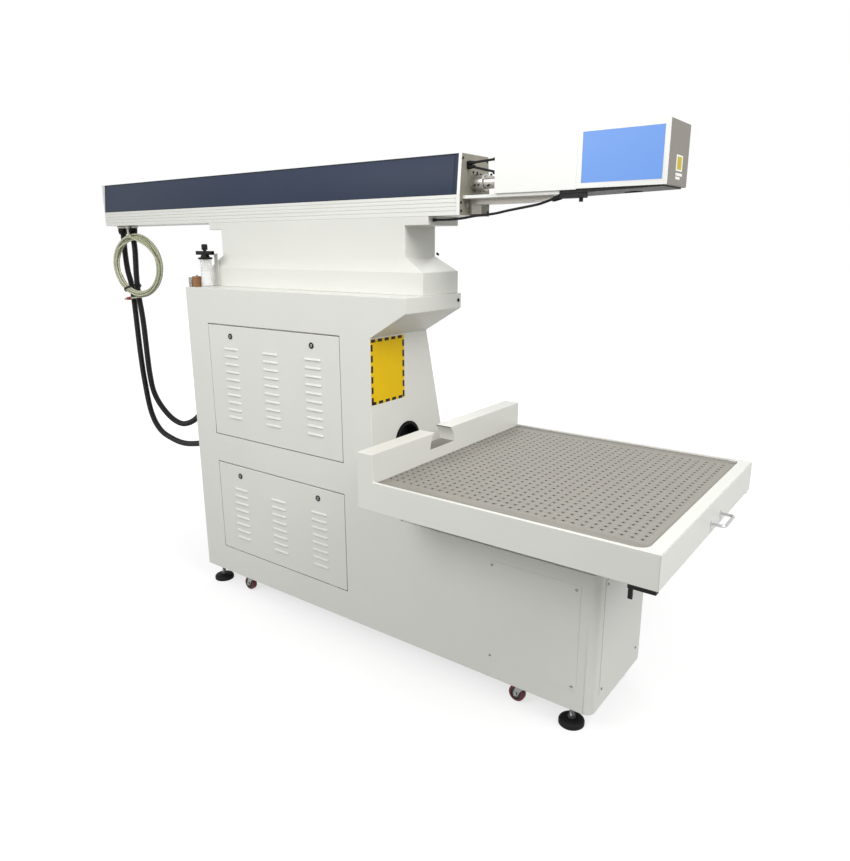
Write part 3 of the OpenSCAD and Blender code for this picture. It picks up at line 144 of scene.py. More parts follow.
# Silver anodised extrusion: fine pale streaks along the die's direction
anodised = finish("anodised_aluminium", "#e6e6e2", 0.36, "#d8d8d2", 9, 1.1, 0.03, die_lines, 0.12,
                  Metallic=0.15)
# Turned aluminium: fine rings round the beam's axis
turned = finish("turned_aluminium", "#cfcdc8", 0.24, "#aba9a4", 2.4, 1.0, 0.05, (1, 0.02, 0.02), 0.14,
                Metallic=0.9)
# Navy anodised side sheet: deep, even, with a soft sheen
navy = finish("navy_anodised_sheet", "#363f52", 0.46, "#30384a", 420, 1.4, 0.02, rough_step=0.05, sheen=0.14)
# Darker navy of the lid's folded edge
navy_lid = finish("navy_coated_sheet", "#242a37", 0.45, "#262c3a", 300, 1.6, 0.03)
# Blue protective film on the head's panel: saturated, with a smooth gloss
film = finish("blue_film", "#70a2ee", 0.3, "#6b9deb", 240, 30, 0.05, rough_step=0.05, sheen=0.3)
# Beige coated steel of the work plate, matte with a fine grit
plate_coat = finish("beige_coated_plate", "#98938a", 0.5, "#8d8a82", 150, 1.8, 0.07)
# Dark walls of the plate's punched holes: painted shade, for the dark space under the plate seen through them
hole_shade = finish("hole_wall_painted_shade", "#56524a", 0.6, "#48443d", 20, 1.2, 0.05)
# Bright zinc plate on screws, forks and nuts, with its cloudy spangle
zinc = finish("zinc_plated_steel", "#a9aba8", 0.26, "#7f8280", 9, 1.5, 0.04, Metallic=0.9)
# Chrome plate on the handle
chrome = finish("chrome_plate", "#d6d7d8", 0.08, "#b4b6b8", 18, 0, 0, rough_step=0.06, Metallic=1.0)
# Black oxide steel: near black with a low sheen
black_steel = finish("blackened_steel", "#1b1b1c", 0.4, "#131314", 24, 1.2, 0.04, rough_step=0.12,
                     sheen=0.2)
# Moulded black nylon: matte, with a spark-eroded grain
nylon = finish("moulded_nylon", "#161617", 0.46, "#101011", 20, 0.9, 0.05, rough_step=0.14, sheen=0.18)
# Black rubber of the feet and plugs
rubber = finish("moulded_rubber", "#181818", 0.6, "#101010", 14, 1.0, 0.06, sheen=0.2)
# Extruded polyamide of the corrugated conduits: soft highlights on each rib
conduit_skin = finish("extruded_polyamide", "#141415", 0.36, "#0d0d0e", 12, 1.0, 0.03, sheen=0.28)
# Smooth cable jacket
jacket = finish("cable_jacket", "#141415", 0.42, "#0e0e0f", 14, 0.8, 0.02, sheen=0.2)
# Cast red polyurethane of the castor treads, dirtied by the floor
tread = finish("cast_polyurethane", "#7c1f2b", 0.44, "#4a161c", 12, 1.4, 0.06)
# Dark moulded wheel centre
hub = finish("moulded_wheel_centre", "#2a2627", 0.46, "#1b1a1b", 10, 1.2, 0.05)
# Pale polyurethane hose, milky with a wet gloss
hose_skin = finish("clear_polyurethane_hose", "#c9cab0", 0.22, "#b3b596", 34, 2.0, 0.04, rough_step=0.1,
                   Transmission_Weight=0.12)
# Red acetal release ring of the push-in fitting
red_acetal = finish("red_acetal", "#c02a33", 0.34, "#a31f2a", 8, 1.0, 0.02)
# Nickel-plated brass body of fittings
nickel = finish("nickel_plated_brass", "#b9b6ae", 0.24, "#8f8d86", 6, 1.0, 0.03, Metallic=0.9)
# Brown moulded resin of the valve's coil
valve_brown = finish("brown_moulded_resin", "#94683e", 0.42, "#7c5431", 8, 1.2, 0.04)
# Black lacquer of the door locks, deep with a wet gloss
lock_black = finish("black_lacquered_zinc", "#0e0e0f", 0.16, "#09090a", 8, 1.2, 0.02, rough_step=0.05,
                    sheen=0.3)
# Grey moulded socket of the feet
grey_nylon = finish("grey_moulded_nylon", "#4a4b4c", 0.5, "#3b3c3d", 12, 1.0, 0.04)
# Grey-beige primer on the housing's end plate, matte
end_grey = finish("grey_primed_plate", "#918d80", 0.46, "#837f73", 40, 1.4, 0.05)
# Beige extrusion of the arm's rail
rail_beige = finish("beige_anodised_rail", "#d3cfc6", 0.36, "#c2beb4", 9, 1.0, 0.03, die_lines, Metallic=0.2)
# Yellow enamelled plate
enamel = finish("yellow_enamel", "#ecc405", 0.42, "#e3b903", 70, 1.6, 0.03, sheen=0.2)
# Black for printed fields on plates and stickers, and for painted shade in screw recesses and lock slots
ink_and_shade = finish("black_ink_and_painted_shade", "#181714", 0.5, "#12110e", 16, 1.0, 0.01, sheen=0.25)
label = finish("white_label_film", "#f1f1ec", 0.4, "#e8e8e2", 16, 1.0, 0.01)
label_yellow = finish("yellow_label_film", "#c2ae20", 0.4, "#b8a41a", 12, 1.0, 0.01, sheen=0.2)
# Grey textured case of the computer, and its folded zinc neighbours
case_coat = finish("textured_case_coat", "#55585c", 0.55, "#4a4d51", 40, 1.4, 0.1)
galvanised = finish("galvanised_sheet", "#c0c3c4", 0.36, "#a5a9ab", 26, 2.0, 0.03, Metallic=0.8)
# Black anodised optics mounts
optic_mount = finish("anodised_optic_mount", "#8d9296", 0.36, "#7d8286", 12, 1.0, 0.03, Metallic=0.6)
# Gold-toned coated silicon of the scan mirrors
mirror = finish("coated_silicon_mirror", "#d9d2bd", 0.04, "#cfc8b2", 30, 0, 0, rough_step=0.02, Metallic=1.0)
# Borosilicate glass of the sealed tube
glass = finish("borosilicate_glass", "#eef4f4", 0.03, "#e4eeee", 60, 0, 0, rough_step=0.02,
               Transmission_Weight=1.0, IOR=1.47)
# Clear polycarbonate of the filter bowl, a little clouded by oil
clear_bowl = finish("clear_polycarbonate", "#f8f8f8", 0.08, "#eeeeee", 30, 3.0, 0.02, rough_step=0.06,
                    Transmission_Weight=0.5, IOR=1.58, Alpha=0.38)
# Grey on the faces inside the notch in the upstand: painted shade, where the coat there lies in shadow
notch_shade = finish("notch_painted_shade", "#8e8c87", 0.7, "#807e79", 14, 1.2, 0.08, sheen=0.2)


# ---------- Shells ----------

def circle(centre, side, other, radius, sides):
    """Points round a centre, in the plane of two directions."""
    return [centre + radius * (side * math.cos(TURN * k / sides) + other * math.sin(TURN * k / sides))
            for k in range(sides)]


def between_rings(rings, sides):
    """Faces between each ring of points and the next; a ring on the axis is one point, which counts once."""
    faces = []
    for low, high in zip(rings, rings[1:]):
        for k in range(sides):
            n = (k + 1) % sides
            corners = low[k % len(low)], low[n % len(low)], high[n % len(high)], high[k % len(high)]
            faces.append(tuple(dict.fromkeys(corners)))
    return faces


def lathe(profile, place=O, axis=Z, sides=40, closed=False):
    """Turns a profile of (height, radius) pairs, in millimetres, about an axis through place."""
    side = axis.orthogonal().normalized()
    other = axis.cross(side)
    points, rings = [], []
    for height, radius in (profile + profile[:1] if closed else profile):
        centre = place + axis * height * MM
        ring = circle(centre, side, other, radius * MM, sides) if radius > 0 else [centre]
        rings.append(range(len(points), len(points) + len(ring)))
        points += ring
    return points, between_rings(rings, sides)


def shell_of(work):
    """The points and faces of a working mesh, which is then freed."""
    work.verts.index_update()
    shell = [v.co.copy() for v in work.verts], [tuple(v.index for v in f.verts) for f in work.faces]
    work.free()
    return shell


def rounded(work, edges, width, segments):
    """Rounds these edges of a working mesh by width mm."""
    bmesh.ops.bevel(work, geom=edges, offset=width * MM, segments=segments, affect="EDGES", profile=0.5,
                    clamp_overlap=True)
    return work


def block(low, high, edge=1.0, segments=2):
    """A block with rounded edges between two corners in millimetres."""
    work = bmesh.new()
    bmesh.ops.create_cube(work, size=1)
    low, high = at(*low), at(*high)
    for v in work.verts:
        v.co = Vector([(a + b) / 2 + c * (b - a) for a, b, c in zip(low, high, v.co)])
    return shell_of(rounded(work, work.edges[:], edge, segments))


def bar(outline, axis, start, end, edge):
    """A bar of one outline, in millimetres, from start to end along axis 0, 1 or 2."""
    work = bmesh.new()
    face = work.faces.new([work.verts.new(at(*v[:axis], start, *v[axis:])) for v in outline])
    grown_parts = bmesh.ops.extrude_face_region(work, geom=[face])["geom"]
    step = O.copy()
    step[axis] = (end - start) * MM
    bmesh.ops.translate(work, vec=step, verts=[g for g in grown_parts if isinstance(g, bmesh.types.BMVert)])
    work.normal_update()
    return shell_of(rounded(work, [e for e in work.edges if e.calc_face_angle(0) > 0.5], edge, 2))


def as_mesh(name, shell, *materials):
    """A mesh of one shell."""
    mesh = bpy.data.meshes.new(name)
    mesh.from_pydata(shell[0], [], shell[1])
    for material in materials:
        mesh.materials.append(material)
    return mesh


def welded(mesh, within, outward=False):
    """Joins a mesh's points that lie within this distance in metres, and can turn its faces outward."""
    work = bmesh.new()
    work.from_mesh(mesh)
    bmesh.ops.remove_doubles(work, verts=work.verts, dist=within)
    if outward:
        bmesh.ops.recalc_face_normals(work, faces=work.faces)
    work.to_mesh(mesh)
    work.free()
    return mesh


def joined(*shells):
    """Several shells as one."""
    points, faces = [], []
    for shell in shells:
        faces += [tuple(i + len(points) for i in f) for f in shell[1]]
        points += shell[0]
    return points, faces


def piece(name, parts, body="frame", cad=()):
    """One object made of shells, each with its own material."""
    materials = list(dict.fromkeys(material for _, material in parts))
    marks = [materials.index(material) for shell, material in parts for _ in shell[1]]
    mesh = as_mesh(name, joined(*(shell for shell, _ in parts)), *materials)
    mesh.polygons.foreach_set("material_index", marks)
    return placed(name, welded(mesh, piece_weld, True), body, cad)


def placed(name, mesh, body, cad=(), smooth_below=38):
    """Puts a mesh in the scene on its body, in place of the CAD nodes that it stands for."""
    made = new_object(name, mesh)
    mesh.polygons.foreach_set("use_smooth", [True] * len(mesh.polygons))
    mesh.set_sharp_from_angle(angle=math.radians(smooth_below))
    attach(made, body)
    if cad:
        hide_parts(*cad)
    return made


def soft_edges(form, name, width):
    """Rounds a form's edges by width mm with three facets."""
    rounding = form.modifiers.new(name, "BEVEL")
    rounding.width = width * MM
    rounding.segments = 3
    rounding.use_clamp_overlap = False
    return rounding


def evened(form):
    """Shades a form's flat faces flat and leaves the blend to its rounded edges."""
    even = form.modifiers.new("even_shading", "WEIGHTED_NORMAL")
    even.keep_sharp = True


def softened(node, material, width, least, body="frame", name=None, pick=None, second=None,
             reshape=None):
    """A copy of a CAD node whose edges between faces larger than least mm2 are rounded by width mm.

    pick tells which faces take the second material, from their middle in millimetres and their normal, and
    reshape gives a corner's new place."""
    work = bmesh.new()
    work.from_mesh(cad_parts[node].data)
    bmesh.ops.remove_doubles(work, verts=work.verts, dist=sheet_weld)
    bmesh.ops.dissolve_limit(work, angle_limit=math.radians(0.6), verts=work.verts, edges=work.edges)
    if reshape:
        for corner in work.verts:
            corner.co = reshape(corner.co)
    weight = work.edges.layers.float.new("bevel_weight_edge")
    for edge in work.edges:
        if len(edge.link_faces) == 2 and edge.calc_face_angle(0) > 0.4:
            if min(f.calc_area() for f in edge.link_faces) > least * MM * MM:
                edge[weight] = 1.0
    for face in work.faces:
        face.material_index = int(pick(face.calc_center_median() / MM, face.normal)) if pick else 0
    mesh = as_mesh(node + "_form", ([], []), *((material, second) if pick else (material,)))
    work.to_mesh(mesh)
    work.free()
    form = placed(name or node + "_form", mesh, body, (node,))
    rounding = soft_edges(form, "rounded_edges", width)
    rounding.limit_method = "WEIGHT"
    evened(form)
    return form


# ---------- Cords ----------

def between(p0, p1, p2, p3, t):
    """The spot at share t of the way from p1 to p2, on a smooth line through all four."""
    return 0.5 * (2 * p1 + (p2 - p0) * t + (2 * p0 - 5 * p1 + 4 * p2 - p3) * t * t
                  + (3 * p1 - p0 - 3 * p2 + p3) * t * t * t)


def flowing(points, steps, square_ends=True):
    """A smooth line through the points; with square ends its first and last stretches stay straight."""
    line = []
    last = len(points) - 1
    for i in range(last):
        a, b = points[i:i + 2]
        for t in (k / steps for k in range(steps)):
            if square_ends and i in (0, last - 1):
                line.append(a.lerp(b, t))
            else:
                line.append(between(points[max(i - 1, 0)], a, b, points[min(i + 2, last)], t))
    return line + [points[-1]]


def spaced(line, step):
    """The same line with points at an even distance, in metres."""
    marks = [0.0]
    for a, b in zip(line, line[1:]):
        marks.append(marks[-1] + (b - a).length)
    count = max(2, round(marks[-1] / step))
    out, i = [], 0
    for k in range(count + 1):
        want = marks[-1] * k / count
        while i < len(marks) - 2 and marks[i + 1] < want:
            i += 1
        share = (want - marks[i]) / max(marks[i + 1] - marks[i], 1e-9)
        out.append(line[i].lerp(line[i + 1], share))
    return out, marks[-1]


def swept(line, radius_at, sides):
    """A tube round a line; radius_at gives each ring's radius in millimetres."""
    points = []
    side = (line[1] - line[0]).orthogonal().normalized()
    for i, spot in enumerate(line):
        ahead = (line[min(i + 1, len(line) - 1)] - line[max(i - 1, 0)]).normalized()
        side = (side - ahead * side.dot(ahead)).normalized()
        points += circle(spot, side, ahead.cross(side), radius_at(i) * MM, sides)
    rings = [range(i * sides, (i + 1) * sides) for i in range(len(line))]
    return points, between_rings(rings, sides) + [rings[0][::-1], rings[-1]]


conduit_r = 14
rib_pitch = 5.6
rib_depth = 1.7
rib_rings = (rib_depth, 0.25, 0, 0.25)


def conduit(name, points, cad):
    """A corrugated conduit: each rib takes four rings."""
    line, length = spaced(flowing([at(*p) for p in points], 24), rib_pitch / len(rib_rings) * MM)
    shell = swept(line, lambda i: conduit_r - rib_rings[i % len(rib_rings)], 18)
    made = piece(name, [(shell, conduit_skin)], cad=(cad,))


conduit("power_conduit_ribs", [
    (-1704, -30, 1592), (-1704, -30, 1560), (-1706, -30, 1500), (-1697, -31, 1410), (-1668, -33, 1300),
    (-1656, -35, 1010), (-1640, -37, 850), (-1604, -40, 690), (-1532, -44, 606), (-1422, -48, 574),
    (-1310, -52, 569), (-1180, -56, 592), (-1110, -59, 616), (-1056, -60, 633), (-1016, -60, 640),
    (-992, -60, 640)], "power_conduit")
conduit("signal_conduit_ribs", [
    (-1618, -30, 1592), (-1618, -30, 1560), (-1616, -30, 1500), (-1628, -29, 1380), (-1626, -29, 1290),
    (-1614, -26, 1150), (-1614, -20, 890), (-1590, -14, 770), (-1502, -8, 682), (-1405, -2, 648),
    (-1318, 8, 672), (-1240, 18, 735), (-1165, 27, 810), (-1100, 34, 868), (-1050, 38, 893),
    (-1014, 40, 900), (-992, 40, 900)], "signal_conduit")


def line_cord(name, line, radius, material, cad):
    """A smooth cable or hose as one curve."""
    curve = bpy.data.curves.new(name, "CURVE")
    curve.dimensions = "3D"
    curve.bevel_depth = radius * MM
    curve.bevel_resolution = 3
    curve.use_fill_caps = True
    run = curve.splines.new("POLY")
    run.points.add(len(line) - 1)
    for point, spot in zip(run.points, line):
        point.co = (*spot, 1)
    run.use_smooth = True
    curve.materials.append(material)
    made = new_object(name, curve)
    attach(made, "frame")
    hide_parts(*cad)
    return made


lead_r = 4
# Front of the housing's end plate, and rear of the focus box
end_face, box_rear = 357, 482
for name, node, points in (
        ("signal_cable_run", "signal_cable", [
            (230, -60, 1612), (248, -60, 1612), (300, -60, 1612), (350, -60, 1615), (397, -60, 1621),
            (466, -60, 1626), (523, -60, 1635), (615, -60, 1648), (651, -60, 1656.5), (687, -60, 1667),
            (701, -60, 1669)]),
        ("upper_tube_lead", "tube_lead", [
            (end_face, -47, 1786), (373, -47, 1786), (417, -46, 1789), (468, -45, 1792),
            (box_rear, -45, 1792)]),
        ("lower_tube_lead", "tube_lead", [
            (end_face, -46, 1774), (373, -46, 1774), (417, -46, 1764), (468, -46, 1752),
            (box_rear, -46, 1751)])):
    line, length = spaced(flowing([at(*p) for p in points], 12, False), 0.006)
    cable = line_cord(name, line, lead_r, jacket, (node,))

# The water hose: down from its nipple, round the coil in turns that lie beside each other, and out
coil_centre = at(-1567, -52.5, 1434)
coil_lean = math.radians(13)
coil_side = Vector((math.cos(coil_lean), math.sin(coil_lean), 0))
coil_face = Vector((math.sin(coil_lean), -math.cos(coil_lean), 0))


def coil_place(side, face, up):
    """A point that many millimetres to the side of the coil's centre, before it and above it."""
    return coil_centre + (side * coil_side + face * coil_face + up * Z) * MM


coil_r = 137
turn_gap = 11.6
hose_r = 5
# Angle of each turn's place in the bundle, from the outer side round the front; None is the middle
turn_places = (60, 120, 180, 240, None, 300, 0)
leave_at = 83
shift_from = 95
shift_over = 30


def turn_offset(place):
    """How far a turn's place in the bundle lies outward and forward of its middle."""
    if place is None:
        return Vector((0, 0))
    return turn_gap * Vector((math.cos(math.radians(place)), math.sin(math.radians(place))))


hose_line = flowing([coil_place(*p) for p in (
    (-30, 12, 181), (-30, 12, 174), (-24, 17, 154), (-11, 20, 140), (8, 22, 130), (30, 23, 122),
    (55, 24, 113), (80, 24, 101), (105, 22, 80), (128, 18, 50), (140, 12, 20), (142.8, 10.05, 0),
    (143, 10, -12))], 6, False)[:-6]
last_turn = len(turn_places) - 1
# Each turn shifts to the next one's place over a short arc, the later turns sooner than the earlier
for degrees in range(3, last_turn * 360 + leave_at, 4):
    turn, angle = divmod(degrees, 360)
    offset = turn_offset(turn_places[turn])
    if turn < last_turn:
        start = shift_from + (last_turn - 1 - turn) * shift_over
        share = min(max((angle - start) / shift_over, 0), 1)
        share = share * share * (3 - 2 * share)
        offset = offset.lerp(turn_offset(turn_places[turn + 1]), share)
    radius = coil_r + offset.x
    swing = math.radians(-degrees)
    hose_line.append(coil_place(radius * math.cos(swing), offset.y, radius * math.sin(swing)))
leave = math.radians(-leave_at)
tail_dir = math.sin(leave) * coil_side - math.cos(leave) * Z
outer_r = coil_r + turn_gap
tail_start = coil_place(outer_r * math.cos(leave), 0, outer_r * math.sin(leave))
tail_l = 90
hose_line += [tail_start + tail_dir * step * MM for step in range(0, tail_l + 10, 6)]
hose = line_cord("water_hose_turns", hose_line, hose_r, hose_skin, ("water_hose", "water_hose_coil"))
fitting_start = tail_start + tail_dir * tail_l * MM
fitting = piece("hose_end_fitting", [
    (lathe([(0, 5.3), (0, 7.6), (1, 8.2), (8, 8.2), (8.6, 7.2), (9.4, 7.2), (10, 8.2), (19, 8.2), (20, 7.4),
            (20, 0)], fitting_start, tail_dir), red_acetal),
    (lathe([(19.5, 0), (19.5, 5.4), (24, 5.4), (24.6, 6.2), (36, 6.2), (37, 5.6), (37, 4), (30, 4), (30, 0)],
           fitting_start, tail_dir), nickel),
    (lathe([(0, 5.05), (-4, 5.05), (-4, 6.4), (-3, 6.9), (0, 6.9)], fitting_start, tail_dir, closed=True),
     ink_and_shade)],
    cad=("hose_fitting",))
tie = softened("hose_tie", nylon, 0.5, 2, name="hose_tie_strap")


# ---------- Geometry node trees for what repeats ----------

def grow_tree(name, sockets):
    """A geometry tree with these named inputs, and what it is given through them."""
    tree = bpy.data.node_groups.new(name, "GeometryNodeTree")
    tree.interface.new_socket("Geometry", in_out="OUTPUT", socket_type="NodeSocketGeometry")
    for label_text, kind in sockets.items():
        tree.interface.new_socket(label_text, in_out="INPUT", socket_type="NodeSocket" + kind)
    return tree, add(tree, "NodeGroupInput").outputs


def copied(tree, points, shape):
    """Copies of a shape on points, as plain geometry."""
    copies = add(tree, "GeometryNodeInstanceOnPoints", {"Points": points, "Instance": shape})
    real = add(tree, "GeometryNodeRealizeInstances", {"Geometry": copies.outputs["Instances"]})
    return real.outputs["Geometry"]


def handed_out(tree, given, geometry):
    """Gives the geometry its finish and hands it out of the tree."""
    skin = add(tree, "GeometryNodeSetMaterial", {"Geometry": geometry, "Material": given["Finish"]})
    add(tree, "NodeGroupOutput", {"Geometry": skin.outputs["Geometry"]})
    return tree


def rows_tree():
    """Copies of a piece in rows and columns, joined where their edges meet."""
    tree, given = grow_tree("rows_and_columns", {
        "Piece": "Object", "Columns": "Int", "Rows": "Int", "First": "Vector", "Column Step": "Vector",
        "Row Step": "Vector", "Join Within": "Float", "Finish": "Material"})
    row = add(tree, "GeometryNodeMeshLine", {
        "Count": given["Rows"], "Start Location": given["First"], "Offset": given["Row Step"]}, mode="OFFSET")
    across = add(tree, "GeometryNodeMeshLine", {
        "Count": given["Columns"], "Offset": given["Column Step"]}, mode="OFFSET")
    field = copied(tree, row.outputs["Mesh"], across.outputs["Mesh"])
    shape = add(tree, "GeometryNodeObjectInfo", {"Object": given["Piece"]})
    whole = add(tree, "GeometryNodeMergeByDistance", {
        "Geometry": copied(tree, field, shape.outputs["Geometry"]), "Distance": given["Join Within"]})
    return handed_out(tree, given, whole.outputs["Geometry"])


def places_tree():
    """Copies of a piece on listed places."""
    tree, given = grow_tree("pieces_on_places", {
        "Places": "Geometry", "Piece": "Object", "Finish": "Material"})
    shape = add(tree, "GeometryNodeObjectInfo", {"Object": given["Piece"]})
    return handed_out(tree, given, copied(tree, given["Places"], shape.outputs["Geometry"]))


rows_and_columns = rows_tree()
pieces_on_places = places_tree()


def grown(tree, name, pattern, values, spots=(O,)):
    """Runs a tree on a pattern shell with these values and gives what grows as one shell."""
    host = new_object(name + "_host", as_mesh(name, (spots, [])))
    model = new_object(name + "_pattern", as_mesh(name + "_one", pattern))
    modifier = host.modifiers.new("grow", "NODES")
    modifier.node_group = tree
    sockets = {s.name: s.identifier for s in tree.interface.items_tree
               if s.item_type == "SOCKET" and s.in_out == "INPUT"}
    for key, value in {"Piece": model, **values}.items():
        modifier[sockets[key]] = value
    host.update_tag()
    bpy.context.view_layer.update()
    view = bpy.context.evaluated_depsgraph_get()
    mesh = bpy.data.meshes.new_from_object(host.evaluated_get(view))
    shell = [v.co.copy() for v in mesh.vertices], [tuple(p.vertices) for p in mesh.polygons]
    host.modifiers.remove(modifier)
    for used in (host, model):
        bpy.data.objects.remove(used)
    bpy.data.meshes.remove(mesh)
    return shell


def turned_to(shell, direction):
    """A shell drawn round +Z, turned to point another way."""
    turn = Z.rotation_difference(direction)
    return [turn @ p for p in shell[0]], shell[1]


def on_places(name, pattern, spots, material, direction=Z):
    """One shell with copies of a pattern shell on every spot, given in millimetres, and its material."""
    return grown(pieces_on_places, name, turned_to(pattern, direction), {"Finish": material},
                 [at(*s) for s in spots]), material


def in_rows(name, pattern, columns, rows, first, column_step, row_step, material):
    """One shell with copies of a pattern shell in rows and columns."""
    return grown(rows_and_columns, name, pattern, {
        "Columns": columns, "Rows": rows, "First": at(*first), "Column Step": at(*column_step),
        "Row Step": at(*row_step), "Join Within": row_weld, "Finish": material})


def screw_heads(name, spots, direction, size, head):
    """Pan-head screws of this head diameter: the shells of the heads and of black crosses on them, painted
    shade for their cross recesses.
    """
    r = size / 2
    dome = lathe([(-0.2, 0), (-0.2, r), (0.25 * r, r), (0.46 * r, 0.82 * r), (0.56 * r, 0.5 * r),
                  (0.58 * r, 0)], sides=16)
    cross = joined(*(block((-u * r, -v * r, 0.3 * r), (u * r, v * r, 0.6 * r), 0.02, 1)
                     for u, v in ((0.5, 0.12), (0.12, 0.5))))
    return [on_places(name + "_heads", dome, spots, head, direction),
            on_places(name + "_crosses", cross, spots, ink_and_shade, direction)]


def filled(outer, inner):
    """Triangles between an outer and an inner outline of (u, v) pairs, all turned the same way."""
    flat = outer + inner
    triangles = []
    for a, b, c in tessellate_polygon([[Vector((*p, 0)) for p in ring] for ring in (outer, inner)]):
        (ua, va), (ub, vb), (uc, vc) = flat[a], flat[b], flat[c]
        turned_left = (ub - ua) * (vc - va) > (vb - va) * (uc - ua)
        triangles.append((a, b, c) if turned_left else (a, c, b))
    return flat, triangles


# ---------- Cabinet ----------

softened("cabinet_shell", coat, 1.8, 4000)
softened("front_cover", coat, 0.5, 900)
softened("access_panel", coat, 0.5, 900)
cover_face, panel_face = 961.5, -221.5
cover_spots = [(cover_face, y, z) for y in (-150, 150) for z in (147, 517)]
panel_spots = [(x, panel_face, z) for x in (586, 889) for z in (166, 504)]
piece("cover_screw_heads", screw_heads("front_screw", cover_spots, X, 10, zinc)
      + screw_heads("panel_screw", panel_spots, -Y, 10, zinc), cad=("cover_screws",))

# ---------- Service doors ----------

door_x = -825
door_l = 749
door_end = door_x + door_l
door_centre = door_x + door_l / 2
door_y = -220
door_back = door_y + 15
sheet_t = 1.6
louvre_w = 86
louvre_h = 9
louvre_out = 5
louvre_step_x = 236
louvre_step_z = 32.4
columns_at = [door_centre + c * louvre_step_x for c in (-1, 0, 1)]
# Each lock stands a little nearer the door's middle than the louvres below it
lock_shift = 2
locks = (columns_at[0] + lock_shift, columns_at[2] - lock_shift)
lock_drop = 42
lock_reach = 13
lock_window = 0.25 * louvre_w
lock_hole_r = 9.3
# Where the hood's grid lines fall, closer together where it curves
hood_across = (0, 0.02, 0.045, 0.08, 0.13, 0.25, 0.5, 0.75, 0.87, 0.92, 0.955, 0.98, 1)
hood_down = (0, 0.12, 0.3, 0.55, 0.8, 1)


def hood_shell():
    """A louvre's hood, pressed out of the sheet: rounded at its ends and open at its lower lip."""
    points = []
    for v in hood_down:
        for u in hood_across:
            near_end = min(min(u, 1 - u) / 0.08, 1)
            rise = math.sin(near_end * math.pi / 2) ** 0.8 * math.sin(v * math.pi / 2) ** 1.2
            points.append(at(u * louvre_w, -louvre_out * rise, louvre_h * (1 - v)))
    n = len(hood_across)
    faces = [(a, a + n, a + n + 1, a + 1) for j in range(len(hood_down) - 1)
             for a in range(j * n, j * n + n - 1)]
    return points, faces


def grid_lines(values):
    """The values in order, each once."""
    return sorted({round(v, 4) for v in values})


def door_sheet(door, bottom, height, drop, rows):
    """A folded sheet door with three columns of louvres and holes for its two locks."""
    node, top = door + "_service_door", bottom + height
    lock_z = top - lock_drop
    columns = [middle - louvre_w / 2 for middle in columns_at]
    levels = [top - drop - row * louvre_step_z for row in range(rows)]
    lines_x = grid_lines([door_x, door_end] + [c + u * louvre_w for c in columns for u in hood_across])
    lines_z = grid_lines([bottom, top, lock_z - lock_reach, lock_z + lock_reach]
                         + [z + louvre_h * (1 - v) for z in levels for v in hood_down])
    faces = []
    for x0, x1 in zip(lines_x, lines_x[1:]):
        for z0, z1 in zip(lines_z, lines_z[1:]):
            x, z = (x0 + x1) / 2, (z0 + z1) / 2
            in_column = any(c < x < c + louvre_w for c in columns)
            in_louvre = in_column and any(v < z < v + louvre_h for v in levels)
            by_lock = abs(z - lock_z) < lock_reach and any(abs(x - w) < lock_window for w in columns_at[::2])
            if not (in_louvre or by_lock):
                faces.append([(x0, door_y, z0), (x1, door_y, z0), (x1, door_y, z1), (x0, door_y, z1)])
        faces.append([(x0, door_y, top), (x1, door_y, top), (x1, door_back, top), (x0, door_back, top)])
        faces.append([(x0, door_back, bottom), (x1, door_back, bottom), (x1, door_y, bottom),
                      (x0, door_y, bottom)])
    for z0, z1 in zip(lines_z, lines_z[1:]):
        for x, y0, y1 in ((door_x, door_back, door_y), (door_end, door_y, door_back)):
            faces.append([(x, y0, z0), (x, y1, z0), (x, y1, z1), (x, y0, z1)])
    for lock, middle in zip(locks, columns_at[::2]):
        inside_x = [x for x in lines_x if abs(x - middle) <= lock_window + 0.001]
        inside_z = [z for z in lines_z if abs(z - lock_z) <= lock_reach + 0.001]
        edge = ([(x, inside_z[0]) for x in inside_x] + [(inside_x[-1], z) for z in inside_z[1:]]
                + [(x, inside_z[-1]) for x in reversed(inside_x[:-1])]
                + [(inside_x[0], z) for z in reversed(inside_z[1:-1])])
        hole = circle(Vector((lock, lock_z, 0)), X, Y, lock_hole_r, 24)
        flat, triangles = filled(edge, [(p.x, p.y) for p in hole])
        faces += [[(flat[i][0], door_y, flat[i][1]) for i in tri] for tri in triangles]
    sheet = joined(*(([at(*p) for p in face], [range(len(face))]) for face in faces))
    hoods = in_rows(node + "_louvres", hood_shell(), 3, rows, (columns[0], door_y, levels[0]),
                    (louvre_step_x, 0, 0), (0, 0, -louvre_step_z), coat)
    mesh = welded(as_mesh(door + "_door_sheet", joined(sheet, hoods), coat), sheet_weld)
    form = placed(door + "_door_sheet", mesh, door + "_door", (node,), 50)
    fold = soft_edges(form, "folded_edges", sheet_t)
    fold.limit_method = "ANGLE"
    fold.angle_limit = math.radians(70)
    wall = form.modifiers.new("sheet_thickness", "SOLIDIFY")
    wall.thickness = sheet_t * MM
    wall.offset = -1
    wall.use_quality_normals = True
    evened(form)
    piece(node + "_tabs", [
        (block((x, door_y + 2.3, bottom - 10), (x + 40, door_y + 3.9, bottom + 2), 0.4), zinc)
        for x in (door_x + 60, door_end - 100)], door + "_door", (node,))


# Each door's name, foot and height, the drop to its first row of louvres, and the number of rows
doors = (("upper", 737, 473, 98, 10), ("lower", 204, 401, 108, 8))
for door in doors:
    door_sheet(*door)
